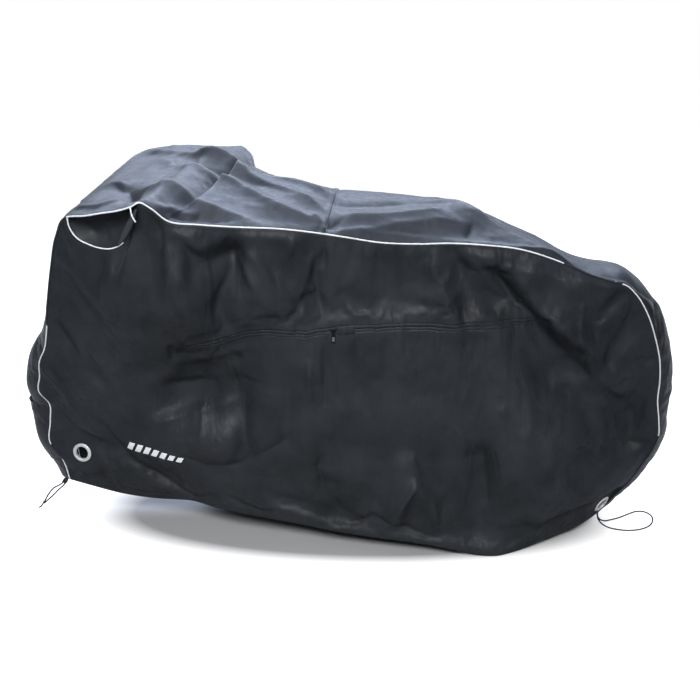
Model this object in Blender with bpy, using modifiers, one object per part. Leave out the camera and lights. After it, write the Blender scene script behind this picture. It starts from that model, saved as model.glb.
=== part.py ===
"""Fitted cloth cover for a bicycle, as it hangs over one.

The sizes are laid out in the bicycle's own frame, in metres: x runs back from the front axle, y from the
near side to the far side, z up from the ground. An empty then moves everything so that the origin is the
point under the top panel where the saddle carries the cover.
"""

import math

import bmesh
import bpy
import numpy as np
from mathutils import Matrix, Vector
from mathutils.bvhtree import BVHTree

# ---------------------------------------------------------------- driving dimensions (metres)
COVER = "bicycle_cover"
CLOTH = 0.0015            # thickness of the coated cloth
THIN_CLOTH = 0.0010       # of the vent's inner pieces and the zip garage
SADDLE_X = 0.862          # the saddle's crest, back from the front axle
SADDLE_TOP = 0.992        # the cover's top over the saddle, above the ground
PIPING_RADIUS = 0.0020
EDGE_GAP = 0.0026         # from the middle of the piping to the edge of the cloth
REST_GAP = 0.0005         # between a sewn-on piece and the cloth that carries it
CROSS_SEAM_AT = 0.545     # x of the seam across the top panel, at the middle

# The two long seams, a row for each place on them, from the front hem over the top to the rear hem.
# half is the near seam's distance from the middle plane. The far seam is its mirror image, moved by
# far_dx and far_dz where the turned handlebar carries it. crown is how far the top panel stands out from
# the straight line between the seams, and flat tells a ridge (1) from a round (2) or a box (4).
SEAM_COLUMNS = ("x", "half", "z", "far_dx", "far_dz", "crown", "flat")
SEAM = (
    (-0.266, 0.050, 0.137, 0.000, 0.000, 0.040, 2.2),
    (-0.274, 0.055, 0.205, 0.000, 0.000, 0.057, 2.2),
    (-0.304, 0.058, 0.269, 0.000, 0.000, 0.055, 2.2),
    (-0.290, 0.062, 0.345, 0.000, 0.000, 0.075, 2.2),
    (-0.284, 0.064, 0.402, 0.000, 0.000, 0.083, 2.2),
    (-0.306, 0.068, 0.440, 0.000, 0.000, 0.056, 2.4),
    (-0.292, 0.078, 0.494, 0.000, 0.000, 0.056, 2.6),
    (-0.281, 0.090, 0.540, 0.000, 0.000, 0.048, 2.8),
    (-0.247, 0.115, 0.597, 0.004, 0.000, 0.042, 3.0),
    (-0.224, 0.138, 0.655, 0.008, 0.004, 0.034, 3.2),
    (-0.200, 0.150, 0.756, 0.012, 0.010, 0.022, 3.4),
    (-0.166, 0.180, 0.850, 0.018, 0.020, 0.014, 3.4),
    (-0.118, 0.235, 0.945, 0.022, 0.034, 0.010, 3.2),
    (-0.063, 0.290, 1.005, 0.024, 0.053, 0.008, 3.0),
    (-0.015, 0.310, 1.013, 0.042, 0.056, 0.010, 2.6),
    (0.028, 0.325, 1.023, 0.065, 0.048, 0.014, 2.4),
    (0.073, 0.335, 1.032, 0.090, 0.034, 0.014, 2.2),
    (0.106, 0.342, 1.043, 0.104, 0.022, 0.014, 2.0),
    (0.126, 0.345, 1.053, 0.116, 0.012, 0.014, 2.0),
    (0.148, 0.336, 1.038, 0.122, 0.008, 0.020, 1.8),
    (0.177, 0.318, 1.006, 0.106, 0.006, 0.034, 1.7),
    (0.247, 0.295, 0.991, 0.074, 0.002, 0.044, 1.6),
    (0.323, 0.270, 0.980, 0.050, 0.004, 0.050, 1.6),
    (0.424, 0.245, 0.970, 0.028, 0.006, 0.054, 1.7),
    (0.494, 0.230, 0.959, 0.014, 0.002, 0.054, 1.8),
    (0.576, 0.210, 0.942, 0.006, 0.000, 0.062, 1.8),
    (0.660, 0.190, 0.924, 0.000, 0.000, 0.074, 1.8),
    (0.758, 0.175, 0.917, 0.000, -0.004, 0.080, 1.7),
    (0.832, 0.170, 0.918, 0.000, -0.008, 0.078, 1.5),
    (0.923, 0.163, 0.912, 0.000, -0.014, 0.050, 1.4),
    (1.006, 0.153, 0.900, 0.000, -0.022, 0.022, 1.8),
    (1.074, 0.143, 0.879, 0.000, -0.028, 0.018, 2.4),
    (1.132, 0.137, 0.856, 0.000, -0.030, 0.016, 3.0),
    (1.191, 0.133, 0.829, 0.000, -0.028, 0.019, 3.2),
    (1.244, 0.128, 0.811, 0.000, -0.024, 0.024, 3.2),
    (1.291, 0.120, 0.797, 0.000, -0.020, 0.033, 2.8),
    (1.325, 0.112, 0.766, 0.000, -0.012, 0.038, 2.4),
    (1.361, 0.105, 0.713, 0.000, -0.006, 0.046, 2.4),
    (1.393, 0.098, 0.643, 0.000, 0.000, 0.050, 2.4),
    (1.415, 0.092, 0.580, 0.000, 0.000, 0.050, 2.3),
    (1.427, 0.086, 0.517, 0.000, 0.000, 0.056, 2.2),
    (1.432, 0.081, 0.454, 0.000, 0.000, 0.058, 2.2),
    (1.447, 0.075, 0.389, 0.000, 0.000, 0.044, 2.2),
    (1.457, 0.066, 0.335, 0.000, 0.000, 0.039, 2.2),
    (1.448, 0.058, 0.280, 0.000, 0.000, 0.039, 2.2),
    (1.430, 0.048, 0.225, 0.000, 0.000, 0.037, 2.2),
    (1.405, 0.040, 0.165, 0.000, 0.000, 0.033, 2.2),
    (1.370, 0.034, 0.108, 0.000, 0.000, 0.024, 2.2),
    (1.325, 0.032, 0.046, 0.000, 0.000, 0.018, 2.2),
)
FRONT_CORNER = 13         # rows of SEAM where a side panel has its upper corners
REAR_CORNER = 35
MOUTH_END = 18            # row of SEAM where the vent mouth closes, at the grip

# Hem of a side panel, from the front end of the seam to the rear end.
HEM_COLUMNS = ("x", "half", "z")
HEM = (
    (-0.266, 0.050, 0.137),
    (-0.198, 0.058, 0.122),
    (-0.107, 0.062, 0.099),
    (0.002, 0.066, 0.086),
    (0.057, 0.075, 0.090),
    (0.106, 0.090, 0.098),
    (0.197, 0.125, 0.096),
    (0.318, 0.150, 0.088),
    (0.442, 0.165, 0.075),
    (0.540, 0.180, 0.064),
    (0.633, 0.190, 0.056),
    (0.728, 0.198, 0.049),
    (0.808, 0.202, 0.040),
    (0.890, 0.204, 0.024),
    (0.958, 0.202, 0.008),
    (1.010, 0.196, 0.004),
    (1.062, 0.180, 0.008),
    (1.110, 0.158, 0.012),
    (1.161, 0.128, 0.016),
    (1.211, 0.100, 0.020),
    (1.259, 0.076, 0.024),
    (1.325, 0.032, 0.046),
)

# Lower lip of the vent mouth, from the front corner of the panel to the grip.
LIP = (
    (-0.063, 0.290, 1.005),
    (-0.062, 0.288, 0.982),
    (-0.050, 0.288, 0.958),
    (-0.018, 0.294, 0.941),
    (0.034, 0.306, 0.935),
    (0.066, 0.320, 0.950),
    (0.096, 0.334, 0.985),
    (0.115, 0.342, 1.020),
    (0.126, 0.345, 1.053),
)

# What pushes a side panel out or lets it fall in: the place, the reach along x and z, and how far out.
SHAPE_COLUMNS = ("x", "z", "reach_x", "reach_z", "out")
NEAR_SHAPE = (
    (-0.08, 0.84, 0.14, 0.16, 0.040),
    (0.12, 0.80, 0.20, 0.16, 0.060),
    (0.16, 0.56, 0.18, 0.10, -0.015),
    (0.18, 0.36, 0.20, 0.08, 0.030),
    (0.60, 0.45, 0.35, 0.25, 0.030),
    (1.16, 0.34, 0.20, 0.22, 0.065),
    (1.34, 0.56, 0.10, 0.16, 0.020),
    (-0.02, 0.30, 0.16, 0.14, 0.015),
)

# Folds and creases in a side panel: from one end to the other in x and z, the width and the height.
FOLD_COLUMNS = ("x0", "z0", "x1", "z1", "width", "height")
NEAR_FOLDS = (
    (0.880, 0.900, 1.030, 0.690, 0.050, -0.034),
    (1.030, 0.690, 1.220, 0.480, 0.056, -0.042),
    (1.220, 0.480, 1.430, 0.330, 0.050, -0.030),
    (0.800, 0.900, 0.860, 0.680, 0.036, 0.016),
    (1.130, 0.820, 1.150, 0.600, 0.038, 0.022),
    (1.260, 0.780, 1.270, 0.560, 0.036, -0.016),
    (0.170, 0.960, 0.220, 0.700, 0.034, 0.024),
    (0.310, 0.980, 0.260, 0.700, 0.036, -0.026),
    (-0.110, 0.310, 0.090, 0.160, 0.044, -0.022),
    (0.160, 0.560, 0.350, 0.630, 0.050, -0.020),
    (0.290, 0.560, 0.310, 0.320, 0.036, -0.026),
    (0.060, 0.430, 0.260, 0.460, 0.060, -0.022),
    (0.700, 0.070, 0.740, 0.340, 0.036, 0.022),
    (0.560, 0.070, 0.540, 0.260, 0.036, -0.016),
    (0.930, 0.360, 0.950, 0.060, 0.042, -0.026),
    (1.140, 0.340, 1.120, 0.100, 0.038, 0.018),
    (-0.220, 0.650, -0.080, 0.540, 0.040, -0.018),
    (0.480, 0.600, 0.470, 0.330, 0.038, 0.016),
)
FAR_SHAPE = (
    (-0.06, 0.84, 0.14, 0.16, 0.040),
    (0.16, 0.80, 0.20, 0.16, 0.050),
    (0.60, 0.45, 0.35, 0.25, 0.030),
    (1.16, 0.34, 0.20, 0.22, 0.060),
)
FAR_FOLDS = (
    (0.860, 0.900, 1.040, 0.640, 0.052, -0.028),
    (1.040, 0.640, 1.240, 0.400, 0.056, -0.030),
    (0.300, 0.980, 0.380, 0.640, 0.040, 0.020),
    (0.160, 0.920, 0.200, 0.620, 0.038, -0.022),
    (0.200, 0.600, 0.240, 0.320, 0.040, -0.022),
    (0.620, 0.460, 0.660, 0.080, 0.042, 0.020),
    (0.900, 0.380, 0.880, 0.080, 0.042, -0.018),
    (1.140, 0.380, 1.170, 0.120, 0.040, 0.016),
)

# Folds in the top panel, seen in plan: from one end to the other in x and y, the width and the height.
TOP_FOLD_COLUMNS = ("x0", "y0", "x1", "y1", "width", "height")
TOP_FOLDS = (
    (-0.020, 0.240, 0.300, -0.120, 0.062, -0.034),
    (0.180, 0.220, 0.480, -0.020, 0.056, 0.018),
    (0.340, 0.160, 0.600, -0.020, 0.050, -0.018),
    (0.110, -0.300, 0.000, -0.060, 0.056, -0.018),
    (0.600, -0.140, 0.840, -0.020, 0.042, 0.016),
    (0.700, -0.170, 0.870, -0.100, 0.036, -0.012),
    (0.875, -0.012, 1.200, -0.110, 0.040, 0.030),
    (0.940, 0.070, 1.290, 0.070, 0.040, 0.014),
    (1.000, 0.010, 1.320, -0.020, 0.042, -0.026),
    (0.440, -0.200, 0.540, -0.040, 0.042, -0.014),
)

# The vent mouth.
LIP_PIPED_COLUMNS = 7         # the piping ends at this column of the mouth
LIP_START = 0.30              # share of the first column where the piping starts
STUB_RADIUS = 0.0018
STUB_ROUTE = ((0.1043, -0.3430, 1.0402), (0.1080, -0.3490, 1.0240), (0.1150, -0.3500, 1.0100))
BACK_COLUMNS = (1, 8)        # columns of the mouth that the pocket's back spans
BACK_BELOW = 0.12             # how far its low edge lies under the lip, as a share of the panel's top row
BACK_CLEAR = 0.0034           # from the middle of the panel in to the middle of the back
BACK_HIGH_IN = 0.014
BACK_HIGH_BELOW = 0.0030
BACK_DEPTH = 0.030
FACING_COLUMNS = (8, 11)       # columns of the mouth under which the strip of facing hangs
FACING_WIDTH = 0.013
FACING_IN = (-0.0037, 0.0020, -0.0018)     # from the lip to the strip's outer edge
FACING_LEAN = (-0.75, 0.25, 0.60)
VENT_ROWS = 5

# The zip's line along the near panel, its slider and the end that shows: x and z.
ZIP_LINE = (
    (0.153, 0.638),
    (0.205, 0.655),
    (0.262, 0.666),
    (0.318, 0.692),
    (0.372, 0.699),
    (0.470, 0.690),
    (0.560, 0.700),
    (0.720, 0.706),
    (0.900, 0.704),
    (1.070, 0.699),
)
ZIP_HALF = 0.0110         # half the height of the slot in the panel
WELT_SLIT = 0.0012        # between the two welts that hide the teeth
WELT_THICK = 0.0020
WELT_PROUD = 0.0004
METAL_BEVEL = 0.0010
TAB_BEVEL = 0.0005
GARAGE_X = (0.556, 0.598)
GARAGE_HALF = 0.011
GARAGE_STEPS = 4
SLIDER_SIZE = (0.014, 0.004, 0.010)
SLIDER_X = 0.546
PULL_SIZE = (0.010, 0.0016, 0.026)
END_TAB_SIZE = (0.006, 0.0016, 0.018)

GARAGE_CLEAR = 0.0021
SLIDER_CLEAR = 0.0030
PULL_CLEAR = 0.0030
PULL_DROP = 0.0184
END_CLEAR = 0.0030

# Lock eyelets: x and z of each one's middle.
EYELET_AT = {"front": (-0.205, 0.245), "rear": (1.330, 0.092)}
EYELET_FLAT = 0.045       # the cloth is laid flat within this radius
EYELET_FADE = 0.090
PATCH_RADIUS = 0.0325
PATCH_GAP = 0.0004
EYELET_HOLE = 0.0175      # clear radius through the ring
EYELET_RIM = 0.0265       # outer radius of the ring's flange
EYELET_WALL = 0.0010
EYELET_FLANGE = 0.0016
EYELET_STEPS = 18

# Hem cord.
CORD_RADIUS = 0.00125
LOCK_AT = (-0.2762, -0.0580, 0.1378)
LOCK_SIZE = (0.014, 0.011, 0.018)
LOCK_TILT = math.radians(35)
KNOT_AT = (-0.352, -0.064, 0.060)
KNOT_RADIUS = 0.0050
LOCK_BEVEL = 0.0020
STRAND_OFFSETS = {"a": -0.0036, "b": 0.0036}      # of the strands, across the lock's lower face
STRAND_GAP = 0.0004
STRAND_STRAIGHT = 0.0050                          # straight out of the lock
STRAND_ROUTES = {
    "a": ((-0.312, -0.066, 0.115), (-0.332, -0.066, 0.092), (-0.3490, -0.0643, 0.0646)),
    "b": ((-0.303, -0.062, 0.104), (-0.323, -0.061, 0.083), (-0.3468, -0.0637, 0.0617)),
}
TAIL_ROUTE = ((-0.3560, -0.064, 0.0558), (-0.3605, -0.065, 0.0490), (-0.3680, -0.066, 0.0430))
LOOP_ROUTE = (
    (1.3327, -0.0222, 0.0391),
    (1.336, -0.019, 0.0230),
    (1.346, -0.015, 0.0090),
    (1.362, -0.011, 0.0022),
    (1.382, -0.004, 0.0016),
    (1.402, 0.004, 0.0016),
    (1.426, 0.017, 0.0016),
    (1.452, 0.033, 0.0016),
    (1.474, 0.043, 0.0016),
    (1.494, 0.043, 0.0016),
    (1.508, 0.032, 0.0016),
    (1.513, 0.014, 0.0016),
    (1.507, -0.009, 0.0016),
    (1.492, -0.030, 0.0016),
    (1.470, -0.045, 0.0016),
    (1.444, -0.054, 0.0016),
    (1.415, -0.057, 0.0016),
    (1.388, -0.053, 0.0016),
    (1.364, -0.044, 0.0020),
    (1.346, -0.036, 0.0090),
    (1.334, -0.031, 0.0230),
    (1.3298, -0.0273, 0.0409),
)
CORD_STEP = 0.011         # between the points of a cord

# Grids.
SEAM_PULL = 4             # how quickly the columns of a side panel straighten away from its front and rear
MOUTH_COLUMNS = 12        # columns of a side panel along the vent mouth
COLUMNS = 45
ROWS_BELOW_ZIP = 10
ROWS_ABOVE_ZIP = 5
ROWS = ROWS_BELOW_ZIP + 1 + ROWS_ABOVE_ZIP
ACROSS = 8                # steps across the top panel

MATERIALS = {
    # name: (red, green, blue), roughness, metallic
    "side_cloth": ((0.026, 0.028, 0.034), 0.55, 0.0),
    "top_cloth": ((0.050, 0.056, 0.068), 0.45, 0.0),
    "piping": ((0.72, 0.74, 0.76), 0.40, 0.0),
    "zip_tape": ((0.015, 0.016, 0.018), 0.70, 0.0),
    "zip_metal": ((0.10, 0.10, 0.11), 0.40, 0.8),
    "eyelet_metal": ((0.62, 0.63, 0.65), 0.28, 1.0),
    "cord": ((0.012, 0.012, 0.013), 0.75, 0.0),
    "cord_lock": ((0.014, 0.014, 0.015), 0.45, 0.0),
}


# ---------------------------------------------------------------- curves and surfaces
class Line:
    """A smooth line through the rows of a table, followed by its length in metres."""

    def __init__(self, rows):
        self.rows = np.array(rows, dtype=float)
        steps = np.linalg.norm(np.diff(self.rows[:, :3], axis=0), axis=1)
        self.marks = np.concatenate(([0.0], np.cumsum(steps)))
        self.slopes = np.gradient(self.rows, self.marks, axis=0)
        self.length = self.marks[-1]

    def at(self, where):
        """Every column of the table at these lengths, by cubic pieces."""
        where = np.clip(np.asarray(where, dtype=float), 0.0, self.length)
        i = np.clip(np.searchsorted(self.marks, where, side="right") - 1, 0, len(self.marks) - 2)
        step = self.marks[i + 1] - self.marks[i]
        t = ((where - self.marks[i]) / step)[..., None]
        step = step[..., None]
        a, b = self.rows[i], self.rows[i + 1]
        slope_a, slope_b = self.slopes[i] * step, self.slopes[i + 1] * step
        return ((2 * t**3 - 3 * t**2 + 1) * a + (t**3 - 2 * t**2 + t) * slope_a
                + (3 * t**2 - 2 * t**3) * b + (t**3 - t**2) * slope_b)

    def share(self, shares):
        """The line at these shares of its length, from 0 to 1."""
        return self.at(np.asarray(shares) * self.length)


SEAM_LINE = Line(SEAM)
HEM_LINE = Line(HEM)
LIP_LINE = Line(LIP)


def unit(v):
    return v / np.maximum(np.linalg.norm(v, axis=-1, keepdims=True), 1e-12)


def fade(x):
    """Smooth step from 0 at 0 to 1 at 1."""
    x = np.clip(x, 0.0, 1.0)
    return x * x * (3 - 2 * x)


def seam_points(table, side):
    """The seam's points on the near side (-1) or the far side (1), from rows of the SEAM table."""
    x, half, z, far_dx, far_dz = np.moveaxis(table[..., :5], -1, 0)
    moved = 0.5 * (1 + side)
    return np.stack((x + moved * far_dx, side * half, z + moved * far_dz), axis=-1)


def stations():
    """Places along the seam where the side panels, the piping and the top panel meet."""
    front, mouth, rear = (SEAM_LINE.marks[row] for row in (FRONT_CORNER, MOUTH_END, REAR_CORNER))
    shares = row_shares(np.array((0.0, 1.0)))
    up = shares[:, 0] * front
    vent = np.linspace(front, mouth, MOUTH_COLUMNS + 1)
    top = np.linspace(mouth, rear, COLUMNS - MOUTH_COLUMNS + 1)
    down = SEAM_LINE.length - shares[::-1, 1] * (SEAM_LINE.length - rear)
    return np.concatenate((up, vent[1:], top[1:], down[1:]))


def column_marks():
    """Places along the seam of a side panel's columns."""
    front, mouth, rear = (SEAM_LINE.marks[row] for row in (FRONT_CORNER, MOUTH_END, REAR_CORNER))
    vent = np.linspace(front, mouth, MOUTH_COLUMNS + 1)
    return np.concatenate((vent, np.linspace(mouth, rear, COLUMNS - MOUTH_COLUMNS + 1)[1:]))


def pulled_in(edge, inner, gap):
    """Points of a cloth's edge, moved towards its inner points so that its border stays clear of a piping."""
    before = np.concatenate((2 * edge[:1] - edge[1:2], edge[:-1]))
    after = np.concatenate((edge[1:], 2 * edge[-1:] - edge[-2:-1]))
    span = unit(after - edge) - unit(before - edge)
    half_angle_sine = np.linalg.norm(span, axis=-1, keepdims=True) / 2
    along = unit(span)
    inward = inner - edge
    inward = inward - along * (inward * along).sum(-1, keepdims=True)
    return edge + unit(inward) * gap / half_angle_sine


def fold_heights(folds, first, second):
    """Height of all the folds at points given by two coordinates. A fold is a soft ridge or trough."""
    total = np.zeros_like(first)
    for a0, b0, a1, b1, width, height in folds:
        along = np.array((a1 - a0, b1 - b0))
        length = np.hypot(*along)
        along = along / length
        run = (first - a0) * along[0] + (second - b0) * along[1]
        off = (first - a0) * -along[1] + (second - b0) * along[0]
        ends = fade((run + width) / (2 * width)) * fade((length + width - run) / (2 * width))
        total += height * np.exp(-(off / width) ** 2) * ends
    return total


def plain_side(side, marks, v):
    """A side panel with no folds: ruled from its hem to its top edge, and bent to the seam at its two ends.

    marks places the columns along the seam, and v holds the height shares, a row of them for each row.
    """
    front, rear = SEAM_LINE.marks[FRONT_CORNER], SEAM_LINE.marks[REAR_CORNER]
    u = (marks - front) / (rear - front)
    left = seam_points(SEAM_LINE.at(v * front), side)
    right = seam_points(SEAM_LINE.at(SEAM_LINE.length - v * (SEAM_LINE.length - rear)), side)
    top = seam_points(SEAM_LINE.at(marks), side)
    if side < 0:
        mouth = SEAM_LINE.marks[MOUTH_END]
        lip = LIP_LINE.share(np.clip((marks - front) / (mouth - front), 0, 1)) * (1, side, 1)
        top = np.where((marks < mouth)[:, None], lip, top)
    hem = HEM_LINE.share(u) * (1, side, 1)
    up = v[..., None]
    first, last = (seam_points(SEAM_LINE.at(mark), side) for mark in (0.0, SEAM_LINE.length))
    front_top, rear_top = (seam_points(SEAM_LINE.at(mark), side) for mark in (front, rear))
    near_front = ((1 - u) ** SEAM_PULL)[None, :, None]
    near_rear = (u ** SEAM_PULL)[None, :, None]
    return ((1 - up) * hem + up * top
            + near_front * (left - (1 - up) * first - up * front_top)
            + near_rear * (right - (1 - up) * last - up * rear_top))


def row_shares(u):
    """Height shares of a side panel's rows at these columns. Two rows run beside the zip's line."""
    front, rear = SEAM_LINE.marks[FRONT_CORNER], SEAM_LINE.marks[REAR_CORNER]
    fine = np.linspace(0.3, 0.95, 131)
    ladder = np.repeat(fine[:, None], len(u), axis=1)
    points = plain_side(-1, front + u * (rear - front), ladder)
    zip_x, zip_z = np.array(ZIP_LINE).T
    above = points[..., 2] - np.interp(points[..., 0], zip_x, zip_z)
    shares = []
    for column in range(len(u)):
        low, high = np.interp((-ZIP_HALF, ZIP_HALF), above[:, column], fine)
        below = np.linspace(0, low, ROWS_BELOW_ZIP + 1)
        shares.append(np.concatenate((below, np.linspace(high, 1, ROWS_ABOVE_ZIP + 1))))
    return np.array(shares).T


def side_grid(side):
    """Points of a side panel: rows up from the hem, columns back from the front seam."""
    marks = column_marks()
    u = (marks - marks[0]) / (marks[-1] - marks[0])
    v = row_shares(u)
    grid = plain_side(side, marks, v)
    border = edge_of(grid)

    x, z = grid[..., 0], grid[..., 2]
    sides = np.minimum(u, 1 - u)[None, :]
    inside = fade(sides / 0.10) * fade((1 - v) / 0.16) * fade(v / 0.22)
    creased = fade(sides / 0.04) * fade((1 - v) / 0.08) * fade(v / 0.08)
    out = np.zeros_like(x)
    for at_x, at_z, reach_x, reach_z, height in NEAR_SHAPE if side < 0 else FAR_SHAPE:
        out += height * np.exp(-((x - at_x) / reach_x) ** 2 - ((z - at_z) / reach_z) ** 2)
    folds = fold_heights(NEAR_FOLDS if side < 0 else FAR_FOLDS, x, z)
    grid[..., 1] += side * (out * inside + folds * creased)
    for spot in EYELET_AT.values():
        lay_flat(grid, spot)

    inner = grid[:, 1:-1][:-1]
    beside = np.concatenate((grid[:-1, 1], grid[-2:-1, 1], inner[-1], grid[-2:-1, -2], grid[:-1, -2][::-1]))
    moved = pulled_in(border, beside, EDGE_GAP)
    grid[:, 0] = moved[:ROWS + 1]
    grid[-1] = moved[ROWS:ROWS + COLUMNS + 1]
    grid[:, -1] = moved[ROWS + COLUMNS:][::-1]
    return grid


def edge_of(grid):
    """The sewn border of a side panel's grid: up its front, along its top and down its rear."""
    return np.concatenate((grid[:, 0], grid[-1, 1:], grid[:-1, -1][::-1])).copy()


def lay_flat(grid, spot):
    """Lay the inner points of a panel flat round an eyelet."""
    inner = grid[1:-1, 1:-1]
    off = np.hypot(inner[..., 0] - spot[0], inner[..., 2] - spot[1])
    near = off < EYELET_FLAT * 1.5
    middle = inner[near].mean(axis=0)
    normal = np.linalg.svd(inner[near] - middle)[2][2]
    above = ((inner - middle) @ normal)[..., None] * normal
    share = fade((EYELET_FADE - off) / (EYELET_FADE - EYELET_FLAT))[..., None]
    inner -= above * share


def top_grid():
    """Points of the whole top panel: a row for each station, from the near seam to the far seam."""
    marks = stations()
    table = SEAM_LINE.at(marks)
    near, far = seam_points(table, -1), seam_points(table, 1)
    crown, flat = table[:, 5], table[:, 6]
    path = np.gradient(0.5 * (near + far), axis=0)
    out = unit(np.stack((-path[:, 2], np.zeros(len(path)), path[:, 0]), axis=-1))
    t = np.linspace(-1, 1, ACROSS + 1)
    chord = 0.5 * ((1 - t)[None, :, None] * near[:, None] + (1 + t)[None, :, None] * far[:, None])
    rise = crown[:, None] * (1 - np.abs(t)[None] ** flat[:, None])
    on_top = fade((table[:, 2] - 0.80) / 0.08)[:, None] * fade((1 - np.abs(t)) / 0.3)[None]
    rise = rise + fold_heights(TOP_FOLDS, chord[..., 0], chord[..., 1]) * on_top
    grid = chord + out[:, None] * rise[..., None]
    finished = grid.copy()
    finished[:, 0] = pulled_in(near, grid[:, 1], EDGE_GAP)
    finished[:, -1] = pulled_in(far, grid[:, -2], EDGE_GAP)
    return finished


# ---------------------------------------------------------------- objects
def material(name):
    found = bpy.data.materials.get(name)
    if found:
        return found
    colour, roughness, metallic = MATERIALS[name]
    made = bpy.data.materials.new(name)
    made.use_nodes = True
    shader = made.node_tree.nodes["Principled BSDF"]
    shader.inputs["Base Color"].default_value = (*colour, 1.0)
    shader.inputs["Roughness"].default_value = roughness
    shader.inputs["Metallic"].default_value = metallic
    return made


def add_object(name, data, finish, collection):
    made = bpy.data.objects.new(name, data)
    made.data.materials.append(material(finish))
    made.parent = bpy.data.objects["cover_origin"]
    bpy.data.collections[collection].objects.link(made)
    return made


def mesh_from(bm, name):
    mesh = bpy.data.meshes.new(name)
    bm.to_mesh(mesh)
    bm.free()
    return mesh


def grid_mesh(name, grid, outward, left_out=()):
    """A mesh of one quad for each cell of a grid of points, but those left out, with its faces outward."""
    rows, columns = grid.shape[:2]
    bm = bmesh.new()
    verts = [[bm.verts.new(point) for point in row] for row in grid]
    for i in range(rows - 1):
        for j in range(columns - 1):
            if (i, j) in left_out:
                continue
            bm.faces.new((verts[i][j], verts[i][j + 1], verts[i + 1][j + 1], verts[i + 1][j]))
    bm.normal_update()
    bm.faces.ensure_lookup_table()
    middle = bm.faces[len(bm.faces) // 2]
    if middle.normal.dot(Vector(outward)) < 0:
        bmesh.ops.reverse_faces(bm, faces=bm.faces)
    mesh = mesh_from(bm, name)
    mesh.shade_smooth()
    return mesh


def cloth(name, grid, outward, finish, thickness=CLOTH, left_out=()):
    """A sheet of cloth: an open grid of points with a Solidify modifier for its thickness."""
    made = add_object(name, grid_mesh(name, grid, outward, left_out), finish, COVER)
    solid = made.modifiers.new("thickness", "SOLIDIFY")
    solid.thickness = thickness
    solid.offset = 0.0
    solid.use_even_offset = True
    return made


def rod(name, points, radius, finish, fineness=2):
    """A round rod or cord along points."""
    curve = bpy.data.curves.new(name, "CURVE")
    curve.dimensions = "3D"
    curve.bevel_depth = radius
    curve.bevel_resolution = fineness
    curve.use_fill_caps = True
    spline = curve.splines.new("POLY")
    spline.points.add(len(points) - 1)
    for target, point in zip(spline.points, points):
        target.co = (*point, 1.0)
    return add_object(name, curve, finish, COVER)


def block(name, size, finish, bevel, place=(0, 0, 0), turn=(0, 0, 0)):
    """A box with rounded edges."""
    bm = bmesh.new()
    bmesh.ops.create_cube(bm, size=1.0)
    bmesh.ops.scale(bm, vec=size, verts=bm.verts)
    mesh = mesh_from(bm, name)
    made = add_object(name, mesh, finish, COVER)
    made.location = place
    made.rotation_euler = turn
    rounded = made.modifiers.new("rounded", "BEVEL")
    rounded.width = bevel
    rounded.segments = 2
    return made


def cylinder_cutter(name, place, normal, radius):
    bm = bmesh.new()
    bmesh.ops.create_cone(bm, cap_ends=True, segments=EYELET_STEPS, radius1=radius, radius2=radius, depth=0.10)
    mesh = mesh_from(bm, name)
    made = bpy.data.objects.new(name, mesh)
    made.parent = bpy.data.objects["cover_origin"]
    made.location = place
    made.rotation_euler = Vector(normal).to_track_quat("Z", "Y").to_euler()
    made.hide_render = True
    made.display_type = "WIRE"
    bpy.data.collections["cutters"].objects.link(made)
    return made


def cut(target, cutter, operation):
    modifier = target.modifiers.new(cutter.name, "BOOLEAN")
    modifier.object = cutter
    modifier.operation = operation
    modifier.solver = "EXACT"


def surface_of(made):
    """The finished faces of an object, to find places on it, in the bicycle's frame."""
    bpy.context.view_layer.update()
    graph = bpy.context.evaluated_depsgraph_get()
    mesh = made.evaluated_get(graph).to_mesh()
    tree = BVHTree.FromPolygons([v.co.copy() for v in mesh.vertices], [tuple(p.vertices) for p in mesh.polygons])
    made.evaluated_get(graph).to_mesh_clear()
    return tree


def on_side(tree, x, z, side):
    """The outer face of a side panel at x and z: the point and the way it faces."""
    point, normal, _, _ = tree.ray_cast(Vector((x, side * 1.0, z)), Vector((0, -side, 0)))
    return np.array(point), np.array(normal)


# ---------------------------------------------------------------- the pieces
def side_panels(grids):
    """The two side panels. The near one has a slot along the zip."""
    slot = {(ROWS_BELOW_ZIP, column) for column in range(*zip_columns(grids[-1]))}
    return {
        -1: cloth("side_panel_near", grids[-1], (0, -1, 0), "side_cloth", left_out=slot),
        1: cloth("side_panel_far", grids[1], (0, 1, 0), "side_cloth"),
    }


def zip_columns(grid):
    """The first and last columns of the zip's slot."""
    x = grid[ROWS_BELOW_ZIP, :, 0]
    return int(np.argmin(np.abs(x - ZIP_LINE[0][0]))), int(np.argmin(np.abs(x - ZIP_LINE[-1][0])))


def top_panels():
    """The top panel's two lengths of cloth, which meet at the cross seam."""
    grid = top_grid()
    middle = grid[:, ACROSS // 2]
    on_top = np.arange(len(grid))[middle[:, 2] > SADDLE_TOP - 0.08]
    seam_row = on_top[np.argmin(np.abs(middle[on_top, 0] - CROSS_SEAM_AT))]
    back = unit(grid[seam_row + 1] - grid[seam_row])
    front_half = np.concatenate((grid[:seam_row], grid[seam_row:seam_row + 1] - back * REST_GAP / 2))
    rear_half = np.concatenate((grid[seam_row:seam_row + 1] + back * REST_GAP / 2, grid[seam_row + 1:]))
    cloth("top_panel_front", front_half, outward_of(front_half), "top_cloth")
    cloth("top_panel_rear", rear_half, outward_of(rear_half), "top_cloth")


def outward_of(grid):
    """The way out of the cover at the middle of a length of the top panel."""
    row, column = grid.shape[0] // 2, grid.shape[1] // 2
    along = grid[row + 1, column] - grid[row - 1, column]
    return (-along[2], 0.0, along[0])


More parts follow.
